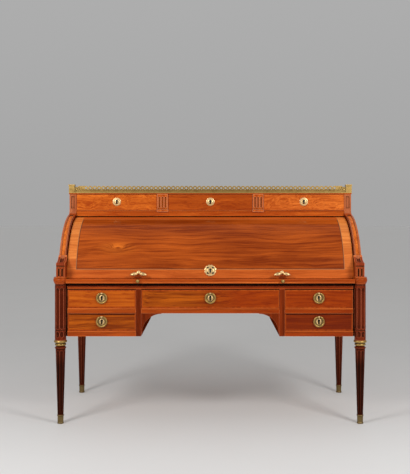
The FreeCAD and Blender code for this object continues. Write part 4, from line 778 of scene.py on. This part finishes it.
def apply_modifier(piece, kind, **settings):
    only(piece)
    modifier = piece.modifiers.new(kind.lower(), kind)
    for name, value in settings.items():
        setattr(modifier, name, value)
    bpy.ops.object.modifier_apply(modifier=modifier.name)


def merged_copy(node, name):
    """A copy of a node's mesh with its triangles joined into whole flat faces."""
    only(NODES[node])
    bpy.ops.object.duplicate()
    piece = bpy.context.active_object
    piece.name = name
    piece.data.name = name
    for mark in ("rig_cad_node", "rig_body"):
        del piece[mark]
    piece.parent = None
    bpy.ops.mesh.customdata_custom_splitnormals_clear()
    edit(piece)
    pick_all()
    bpy.ops.mesh.remove_doubles(threshold=MERGE)
    bpy.ops.mesh.dissolve_limited(angle_limit=NODE_FLAT)
    done()
    return piece


# Length and angle from which an edge is rounded, and in how many steps
LONG_EDGE = 0.006
SHARP = math.radians(32)
STEPS = 2


def weigh_long_edges(piece):
    """Mark the long sharp edges, which hands and cloths have rubbed."""
    mesh = bmesh.new()
    mesh.from_mesh(piece.data)
    weight = mesh.edges.layers.float.new("bevel_weight_edge")
    for edge in mesh.edges:
        if edge.is_contiguous and edge.calc_length() > LONG_EDGE and edge.calc_face_angle() > SHARP:
            edge[weight] = 1.0
    mesh.to_mesh(piece.data)
    mesh.free()


def ease(piece):
    """Rub the long sharp edges of a piece round."""
    weigh_long_edges(piece)
    apply_modifier(
        piece,
        "BEVEL",
        width=sizes().eased_edge,
        segments=STEPS,
        limit_method="WEIGHT",
        harden_normals=False,
        use_clamp_overlap=True,
    )
    smooth(piece)
    apply_modifier(piece, "WEIGHTED_NORMAL", keep_sharp=True)


def dress(piece, material, slot, body, *nodes):
    """Give a piece its finish and body, and hide the nodes that it stands for; its slot is not used."""
    piece.data.materials.clear()
    piece.data.materials.append(finish_of(material))
    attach(piece, body)
    if nodes:
        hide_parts(*nodes)


def lay_grain(piece, along, deep, across_axis):
    """Turn the grain of the boards that stand across an axis of the piece."""

    def crosses(face):
        return abs(face.normal[across_axis]) > MOSTLY

    repaint(piece, (lambda face: not crosses(face), along), (crosses, deep))


def body_of(node):
    return NODES[node]["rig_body"]


def dressed_copy(node, name, material, slot):
    """A copy that stands for a node, in its finish."""
    body = body_of(node)
    piece = merged_copy(node, name)
    dress(piece, material, slot, body, node)
    return piece


def eased_board(node, material, slot):
    """A node of flat boards with its edges rubbed round."""
    piece = dressed_copy(node, node + "_eased", material, slot)
    ease(piece)
    return piece


def paint_nodes(**finishes):
    """Nodes whose shape stays, in their finishes."""
    for node, material in finishes.items():
        slots = NODES[node].data.materials
        for index in range(len(slots)):
            slots[index] = finish_of(material)


# Operators


class DESK_OT_finishes(bpy.types.Operator):
    """Make the woods, metals and leather"""

    bl_idname = "desk.finishes"
    bl_label = "Finishes"

    def execute(self, context):
        make_materials()
        return {"FINISHED"}


class DESK_OT_legs(bpy.types.Operator):
    """Finish the fluted legs, their collars and foot caps"""

    bl_idname = "desk.legs"
    bl_label = "Legs"

    def execute(self, context):
        paint_nodes(
            front_leg_left="leg_wood",
            front_leg_right="leg_wood",
            back_leg_left="back_leg_wood",
            back_leg_right="back_leg_wood",
            leg_collars="dark_brass",
            leg_sabots="foot_bronze",
        )
        return {"FINISHED"}


class DESK_OT_case(bpy.types.Operator):
    """Ease and finish the boards of the case"""

    bl_idname = "desk.case"
    bl_label = "Case"

    def execute(self, context):
        boards = {
            "case_along": ("top_board", "lower_back_panels"),
            "case_upright": ("lower_left_side", "lower_right_side"),
            # Inner sides of the pedestals in the dark stile tone, a painted shade in the kneehole
            "knee_wood": ("pedestal_inner_sides",),
            "stile_and_shade_wood": ("front_stiles",),
        }
        for material, nodes in boards.items():
            for node in nodes:
                eased_board(node, material, "mahogany")
        lay_grain(eased_board("interior_case", "case_along", "mahogany"), "case_along", "case_deep", 0)
        self.rails("front_rails", "rail_wood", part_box("centre_drawer")[1].z)
        self.rails("upper_case_floor", "rail_veneer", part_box("top_board")[0].z)
        self.brackets()
        for side in ("left", "right"):
            self.shoulder(f"upper_{side}_side")
        for node, material in (
            ("upper_back_panel", "oak_along"),
            ("pedestal_floors", "oak_deep"),
            ("drawer_runners", "oak_deep"),
            ("table_bed", "shadow_wood"),
        ):
            eased_board(node, material, "oak")
        self.moulding()
        paint_nodes(corner_consoles="carved_wood", triglyph_dividers="triglyph_wood")
        return {"FINISHED"}

    def rails(self, node, material, shade_z):
        """Rails with a bead along their upper edge painted pale as a highlight, and dark as painted shade
        above the height of the shade.
        """
        bead = 0.003
        front_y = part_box(node)[0].y + bead
        piece = eased_board(node, material, "mahogany")

        def on_bead(face):
            return middle_of(face).y < front_y - MERGE

        def shaded(face):
            return on_bead(face) and middle_of(face).z > shade_z

        repaint(piece, (on_bead, "lit_bead_wood"), (shaded, "stile_and_shade_wood"))

    def brackets(self):
        """Kneehole brackets, dull in their hollows."""
        piece = eased_board("kneehole_brackets", "stile_and_shade_wood", "mahogany")
        repaint(piece, (lambda face: not faces_front(face), "hollow_wood"))

    def moulding(self):
        """The table moulding, with the grain of its ends running back."""
        low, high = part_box("lower_right_side")
        piece = dressed_copy("table_moulding", "table_moulding_grained", "case_along", "mahogany")

        def at_end(face):
            middle = middle_of(face)
            return abs(middle.x) > low.x and low.y < middle.y < high.y

        repaint(piece, (at_end, "case_deep"))
        smooth(piece)

    def shoulder(self, node):
        """A curved side: a bright sunk face between pale edges, with painted shade beside the cylinder and
        on the inner face.
        """
        shade_width, channel_radius = 0.004, 0.364
        low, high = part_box(node)
        inner_x = min(abs(low.x), abs(high.x))
        side = math.copysign(1, low.x)
        rail_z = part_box("upper_case_floor")[0].z
        piece = dressed_copy(node, node + "_eased", "shoulder_wood", "mahogany")

        def on_pilaster(face):
            return face.normal.dot(FRONT) > MOSTLY and middle_of(face).z > rail_z

        def on_curve(face):
            return outward(face) and middle_of(face).z < rail_z

        def in_channel(face):
            from_axis = middle_of(face) - AXIS
            return on_curve(face) and math.hypot(from_axis.y, from_axis.z) < channel_radius

        def in_shade_beside_cylinder(face):
            return on_curve(face) and abs(middle_of(face).x) < inner_x + shade_width

        split(piece, (side * (inner_x + shade_width), 0, 0), (1, 0, 0))
        # Pale pilasters and raised edges: their paleness is partly a painted highlight. Painted shade
        # beside the cylinder and on the inner face.
        repaint(
            piece,
            (on_pilaster, "pilaster_wood"),
            (on_curve, "pilaster_wood"),
            (in_channel, "shoulder_panel"),
            (in_shade_beside_cylinder, "shadow_wood"),
            (lambda face: face.normal.x * side < -STRAIGHT, "stile_and_shade_wood"),
        )
        ease(piece)


class DESK_OT_cylinder(bpy.types.Operator):
    """Finish the curved front: core, inlaid field, bands, brass and arms"""

    bl_idname = "desk.cylinder"
    bl_label = "Cylinder"

    def execute(self, context):
        self.field()
        paint_nodes(
            cylinder_panel="oak_along",
            cylinder_crossbands="crossband_veneer",
            cylinder_end_bands="band_veneer",
            cylinder_arms="dark_iron_and_shade",
            pivot_bushes="bright_brass",
            cylinder_handles="bright_brass",
        )
        return {"FINISHED"}

    def field(self):
        """Flame veneer with a light and a dark line let in round it."""
        piece = dressed_copy("cylinder_field", "cylinder_field_inlaid", "field_veneer", "mahogany")
        top = math.asin((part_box("cylinder_field")[1].z - AXIS.z) / CURVE)
        angle = top - sizes().top_border / CURVE
        over_border = Vector((0, math.sin(angle), math.cos(angle)))
        split(piece, AXIS, over_border)

        def above(face):
            return (middle_of(face) - AXIS).dot(over_border) > 0

        edit(piece)
        paint_where(piece, lambda face: outward(face) and above(face), "band_veneer")
        paint_where(piece, lambda face: outward(face) and not above(face), "boxwood_line")
        inlay(piece, (sizes().string_width, "ebony_line"), (sizes().string_width, "field_veneer"))
        done()
        smooth(piece)


class DESK_OT_slide(bpy.types.Operator):
    """Finish the writing slide, its leather and its knobs"""

    bl_idname = "desk.slide"
    bl_label = "Writing slide"

    def execute(self, context):
        self.board()
        self.lining()
        self.knobs()
        return {"FINISHED"}

    def knobs(self):
        """Turned knobs, a little fuller than their cores."""
        low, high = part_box("slide_knobs")
        piece = dressed_copy("slide_knobs", "slide_knobs_turned", "dark_brass", "brass")
        swell(piece, lambda face: middle_of(face).y < (low.y + high.y) / 2, sizes().knob_swell)

    def board(self):
        """The board, with a bead along its lower front edge painted pale as a highlight."""
        bead = 0.0035
        low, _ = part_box("writing_slide")
        piece = eased_board("writing_slide", "case_along", "mahogany")

        def on_bead(face):
            middle = middle_of(face)
            return middle.y < low.y + bead and middle.z < low.z + bead * 2

        repaint(piece, (on_bead, "lit_bead_wood"))

    def lining(self):
        """Leather with a broad and a fine gilt line round it."""
        piece = dressed_copy("writing_leather", "leather_lining", "leather", "leather")
        broad = sizes().tooling_width
        fine = broad / 2
        edit(piece)
        pick_faces(piece, lambda face: face.normal.dot(UP) > STRAIGHT)
        inlay(
            piece,
            (sizes().tooling_margin, "gilding"),
            (broad, "leather"),
            (broad * 2, "gilding"),
            (fine, "leather"),
        )
        done()


class DESK_OT_drawers(bpy.types.Operator):
    """Build the drawers: banded fronts and oak boxes"""

    bl_idname = "desk.drawers"
    bl_label = "Drawers"
    # Painted shade: a thin dark outline round a front without a border stands for the shadow in the gaps.
    shade_edging = ("stile_and_shade_wood", 0.002)

    def execute(self, context):
        for name, (veneer, _) in KEYED_DRAWERS.items():
            edging = ("border_veneer", sizes().border) if name in FRIEZE_DRAWERS else self.shade_edging
            self.drawer(name, veneer, edging)
        for name in INNER_DRAWERS:
            self.drawer(name, "upper_veneer", self.shade_edging)
        return {"FINISHED"}

    def drawer(self, name, veneer, edging):
        """Part the front, with any knob, from its box and finish both."""
        slack, sideways, broad_area = 0.001, 0.5, 0.005
        node = name + "_drawer"
        body = body_of(node)
        box = merged_copy(node, name + "_box")
        face_y = self.face_of(box)
        self.cut_off_front(box, face_y + slack)
        front = next(piece for piece in bpy.context.selected_objects if piece != box)
        front.name = front.data.name = name + "_front"
        dress(box, "oak_deep", "oak", body)
        lay_grain(box, "oak_deep", "oak_along", 1)
        ease(box)
        dress(front, veneer, "mahogany", body, node)
        edge_wood, edge_width = edging
        edit(front)
        # Painted shade: the edges of the front that face the gaps are dark, so the gaps read dark.
        paint_where(front, lambda face: face.normal.dot(FRONT) < sideways, "stile_and_shade_wood")
        paint_where(front, lambda face: middle_of(face).y < face_y - MERGE, "bright_brass")
        paint_where(front, lambda face: faces_front(face) and face.calc_area() > broad_area, edge_wood)
        inlay(front, (edge_width, veneer))
        # Painted shadow of the rail above, along the top of a bottom drawer.
        if name.endswith("bottom"):
            rail_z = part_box(node)[1].z - sizes().border

            def under_rail(face):
                return faces_front(face) and middle_of(face).z > rail_z

            paint_where(front, under_rail, "shadow_wood")
        done()
        ease(front)

    def face_of(self, box):
        """The depth of a drawer's face, which a knob may stand before."""
        wide = box.dimensions.x * box.dimensions.z / 4
        fronts = [face for face in box.data.polygons if faces_front(face) and face.area > wide]
        return min(face.center.y for face in fronts)

    def cut_off_front(self, box, near):
        """Part the boards that reach the drawer's face from the rest."""
        edit(box)
        pick_faces(box, lambda face: any(corner.co.y < near for corner in face.verts))
        bpy.ops.mesh.select_linked()
        bpy.ops.mesh.separate(type="SELECTED")
        done()


class DESK_OT_mounts(bpy.types.Operator):
    """Build the brass of the locks: plates, dark key collars of painted shade, ring pulls and their dishes
    """

    bl_idname = "desk.mounts"
    bl_label = "Lock mounts"

    def execute(self, context):
        collar = self.key_collar()
        dish = self.dish()
        for name, (_, key_z) in KEYED_DRAWERS.items():
            drawer = name + "_drawer"
            body = body_of(drawer)
            face_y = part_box(drawer)[0].y
            low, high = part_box(drawer + "_lock")
            centre = Vector(((low.x + high.x) / 2, face_y, key_z))
            self.plate(name, drawer + "_lock", face_y)
            front_y = self.front_of(drawer + "_lock", centre)
            self.set_in(collar, name + "_key_collar", body, Vector((centre.x, front_y, key_z)))
            if name in FRIEZE_DRAWERS:
                self.set_in(dish, name + "_ring_dish", body, centre)
                self.ring(name, drawer + "_ring")
        self.rosette(collar)
        for pattern in (collar, dish):
            bpy.data.objects.remove(pattern)
        return {"FINISHED"}

    def front_of(self, node, centre, reach=0.008):
        """The foremost depth of a node close to a point of its face."""
        near = [
            corner.co.y
            for corner in NODES[node].data.vertices
            if abs(corner.co.x - centre.x) < reach and abs(corner.co.z - centre.z) < reach
        ]
        return min(near)

    def plate(self, name, node, face_y):
        """The brass plate, with the lock case behind the front left dark: iron, and painted shade seen
        through the keyhole.
        """
        piece = dressed_copy(node, name + "_plate", "bright_brass", "brass")
        repaint(piece, (lambda face: middle_of(face).y > face_y + MERGE, "dark_iron_and_shade"))
        smooth(piece)

    def set_in(self, pattern, name, body, place, tilt=0.0):
        """A copy of a pattern, turned back by a tilt and set at its place."""
        only(pattern)
        bpy.ops.object.duplicate()
        piece = bpy.context.active_object
        piece.name = piece.data.name = name
        piece.rotation_euler.x = -tilt
        piece.location = place
        bpy.ops.object.transform_apply(location=True, rotation=True, scale=True)
        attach(piece, body)

    def key_collar(self):
        """Painted shade round a keyhole, as dark metal: a round eye over a slot, open in the middle."""
        eye, eye_rise, slot_length = 0.0065, 0.0046, 0.0106
        piece = self.disc("key_collar", eye, eye_rise)
        edit(piece)
        bpy.ops.mesh.select_mode(type="EDGE")
        mesh = bmesh.from_edit_mesh(piece.data)
        for edge in mesh.edges:
            middle = (edge.verts[0].co + edge.verts[1].co) / 2 - Vector((0, 0, eye_rise))
            edge.select_set(middle.z < -abs(middle.x))
        bmesh.update_edit_mesh(piece.data)
        bpy.ops.mesh.extrude_edges_move(TRANSFORM_OT_translate={"value": (0, 0, -slot_length)})
        bpy.ops.mesh.select_mode(type="FACE")
        pick_all()
        bpy.ops.mesh.dissolve_limited(angle_limit=PATTERN_FLAT)
        self.open_up(piece, sizes().key_collar, proud=0.0002, rounding=0.0003)
        return piece

    def eye_collar(self):
        """Painted shade round one of the rosette's piercings, as dark metal."""
        eye, width = 0.0034, 0.0026
        piece = self.disc("eye_collar", eye + width)
        edit(piece)
        pick_all()
        self.open_up(piece, width, proud=0.0004, rounding=0.0002)
        return piece

    def open_up(self, piece, width, proud, rounding):
        """In edit mode, leave only a rim of the selected faces, and make it a thick dark collar of painted
        shade.
        """
        depth = 0.0016
        bpy.ops.mesh.inset(thickness=width)
        bpy.ops.mesh.delete(type="FACE")
        self.thicken(depth)
        bpy.ops.transform.translate(value=(0, depth - proud, 0))
        done()
        self.round_off(piece, rounding, "dark_iron_and_shade")

    def dish(self):
        """Open round dish behind a ring pull, with a raised rim."""
        rim, opening, thickness, rim_rise, rounding = 0.0018, 0.014, 0.0007, 0.0008, 0.0004
        radius = sizes().dish_radius
        piece = self.disc("ring_dish", radius)
        edit(piece)
        pick_all()
        for width in (rim, radius - rim - opening):
            bpy.ops.mesh.inset(thickness=width)
        bpy.ops.mesh.delete(type="FACE")
        self.thicken(thickness)

        def on_rim(face):
            middle = middle_of(face)
            return faces_front(face) and math.hypot(middle.x, middle.z) > radius - rim

        pick_faces(piece, on_rim)
        bpy.ops.mesh.extrude_region_move(TRANSFORM_OT_translate={"value": (0, -rim_rise, 0)})
        done()
        self.round_off(piece, rounding, "foot_bronze")
        return piece

    def disc(self, name, radius, rise=0.0):
        corners = 48
        bpy.ops.object.select_all(action="DESELECT")
        bpy.ops.mesh.primitive_circle_add(
            vertices=corners, radius=radius, fill_type="NGON", location=(0, 0, rise), rotation=FACING_FRONT
        )
        bpy.ops.object.transform_apply(location=True, rotation=True, scale=True)
        piece = bpy.context.active_object
        piece.name = name
        return piece

    def thicken(self, depth):
        """In edit mode, draw all faces forwards into a closed plate."""
        pick_all()
        bpy.ops.mesh.extrude_region_move(TRANSFORM_OT_translate={"value": (0, -depth, 0)})
        pick_all()
        bpy.ops.mesh.normals_make_consistent(inside=False)

    def round_off(self, piece, width, material):
        """Round the edges of a pattern and give it its finish."""
        apply_modifier(piece, "BEVEL", width=width, segments=STEPS, limit_method="ANGLE", angle_limit=SHARP)
        smooth(piece, ROUND_ANGLE)
        piece.data.materials.append(finish_of(material))

    def ring(self, name, node):
        """The ring, fuller in the round than its hinge pin."""
        pin_reach = 0.011
        low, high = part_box(node)
        middle_x = (low.x + high.x) / 2
        piece = dressed_copy(node, name + "_ring", "dark_brass", "brass")

        def off_pin(face):
            middle = middle_of(face)
            return abs(middle.x - middle_x) > pin_reach or middle.z < (low.z + high.z) / 2

        swell(piece, off_pin, sizes().ring_swell)

    def rosette(self, collar):
        """The pierced rosette, with painted shade behind and round its piercings and a dark collar of
        painted shade in its keyhole.
        """
        rise, eyes_out, dish_drop = 0.075, 0.0183, 0.0013
        back_radius, back_depth, back_rounding = 0.022, 0.0004, 0.0001
        body = body_of("cylinder_fittings")
        tilt = math.asin(rise / CURVE)
        away = Vector((0, -math.cos(tilt), math.sin(tilt)))
        upward = Vector((0, math.sin(tilt), math.cos(tilt)))
        front = max((corner.co - AXIS).dot(away) for corner in NODES["cylinder_fittings"].data.vertices)
        face = Vector((0, AXIS.y, AXIS.z)) + away * front
        self.set_in(collar, "rosette_key_collar", body, face, tilt)
        eye = self.eye_collar()
        step = eyes_out * math.sqrt(0.5)
        for name, across, up in (("a", -1, 1), ("b", 1, 1), ("c", -1, -1), ("d", 1, -1)):
            place = face - away * dish_drop + upward * (up * step) + Vector((across * step, 0, 0))
            self.set_in(eye, "rosette_eye_" + name, body, place, tilt)
        backing = self.disc("backing", back_radius)
        edit(backing)
        self.thicken(back_depth)
        done()
        self.round_off(backing, back_rounding, "dark_iron_and_shade")
        self.set_in(backing, "rosette_back", body, face + away * (CURVE - front), tilt)
        for pattern in (eye, backing):
            bpy.data.objects.remove(pattern)
        paint_nodes(cylinder_fittings="bright_brass")


class DESK_OT_gallery(bpy.types.Operator):
    """Finish the pierced gallery"""

    bl_idname = "desk.gallery"
    bl_label = "Gallery"

    def execute(self, context):
        paint_nodes(gallery="dark_brass")
        return {"FINISHED"}


class DESK_OT_stage(bpy.types.Operator):
    """Lay the floor and set the lamps and the camera"""

    bl_idname = "desk.stage"
    bl_label = "Stage"

    def execute(self, context):
        scene = context.scene
        stage = scene.desk_stage
        self.floor()
        self.sky(scene, stage)
        for side in (-1, 1):
            self.lamp(f"soft_key_{side}", side, stage.key_power)
        self.camera(scene, stage)
        scene.view_settings.view_transform = "Standard"
        return {"FINISHED"}

    def floor(self):
        """A pale floor, faintly mottled."""
        radius, corners = 40, 96
        bpy.ops.object.select_all(action="DESELECT")
        bpy.ops.mesh.primitive_circle_add(vertices=corners, radius=radius, fill_type="NGON")
        floor = bpy.context.active_object
        floor.name = "studio_floor"
        tree, shader, place = new_material("studio_floor")
        mottle = noise(tree, place, (2.5, 2.5, 2.5), 4.0)
        tone = finish().floor
        worn = rgba([part * 0.97 for part in tone])
        sockets = {
            "Base Color": blend_of(tree, mottle, rgba(tone), worn),
            "Roughness": 0.6,
            "Specular IOR Level": 0.1,
        }
        feed(tree, shader, sockets)
        floor.data.materials.append(finish_of("studio_floor"))

    def sky(self, scene, stage):
        """Even light that grows a little overhead, so that floor and sky meet without a line."""
        world = bpy.data.worlds.new("studio")
        world.use_nodes = True
        scene.world = world
        tree = world.node_tree
        tree.nodes.clear()
        height = parts_of(tree, add(tree, "ShaderNodeTexCoord").outputs["Generated"])["Z"]
        raised = maths(tree, "MAXIMUM", height, 0.0)
        strength = times_add(tree, raised, stage.sky * stage.sky_rise, stage.sky)
        light = add(tree, "ShaderNodeBackground", {"Color": (1, 1, 1, 1), "Strength": strength})
        add(tree, "ShaderNodeOutputWorld", {"Surface": light.outputs[0]})

    def lamp(self, name, side, power):
        """A soft lamp in front of one end of the desk, above it."""
        width = 0.9
        place = Vector((1.9 * side, -2.3, 2.2))
        target = Vector((0.35 * side, 0, 0.8))
        data = bpy.data.lights.new(name, "AREA")
        data.energy = power
        data.shape = "DISK"
        data.size = width
        lamp = bpy.data.objects.new(name, data)
        lamp.location = place
        lamp.rotation_euler = (target - place).to_track_quat("-Z", "Y").to_euler()
        bpy.context.scene.collection.objects.link(lamp)

    def camera(self, scene, stage):
        data = bpy.data.cameras.new("view")
        data.lens = stage.lens
        data.sensor_width = 36
        data.shift_x = stage.shift_right
        data.shift_y = stage.shift_up
        camera = bpy.data.objects.new("view", data)
        camera.location = (0, -stage.distance, stage.eye_height)
        camera.rotation_euler = FACING_FRONT
        scene.collection.objects.link(camera)
        scene.camera = camera


class DESK_PT_panel(bpy.types.Panel):
    """The desk's sizes, colours and pieces"""

    bl_idname = "DESK_PT_panel"
    bl_label = "Cylinder desk"
    bl_space_type = "VIEW_3D"
    bl_region_type = "UI"
    bl_category = "Desk"

    def draw(self, context):
        scene = context.scene
        for group in (scene.desk_sizes, scene.desk_finish, scene.desk_stage):
            box = self.layout.box()
            for name in group.__annotations__:
                box.prop(group, name)
        for operator in OPERATORS:
            self.layout.operator(operator.bl_idname)


GROUPS = (DeskFinish, DeskSizes, DeskStage)
OPERATORS = (
    DESK_OT_finishes,
    DESK_OT_legs,
    DESK_OT_case,
    DESK_OT_cylinder,
    DESK_OT_slide,
    DESK_OT_drawers,
    DESK_OT_mounts,
    DESK_OT_gallery,
    DESK_OT_stage,
)


def register():
    for kind in GROUPS + OPERATORS + (DESK_PT_panel,):
        bpy.utils.register_class(kind)
    bpy.types.Scene.desk_finish = bpy.props.PointerProperty(type=DeskFinish)
    bpy.types.Scene.desk_sizes = bpy.props.PointerProperty(type=DeskSizes)
    bpy.types.Scene.desk_stage = bpy.props.PointerProperty(type=DeskStage)


def unregister():
    for name in ("desk_finish", "desk_sizes", "desk_stage"):
        delattr(bpy.types.Scene, name)
    for kind in reversed(GROUPS + OPERATORS + (DESK_PT_panel,)):
        bpy.utils.unregister_class(kind)


def main():
    register()
    for operator in OPERATORS:
        group, name = operator.bl_idname.split(".")
        getattr(getattr(bpy.ops, group), name)()


if __name__ == "__main__":
    main()
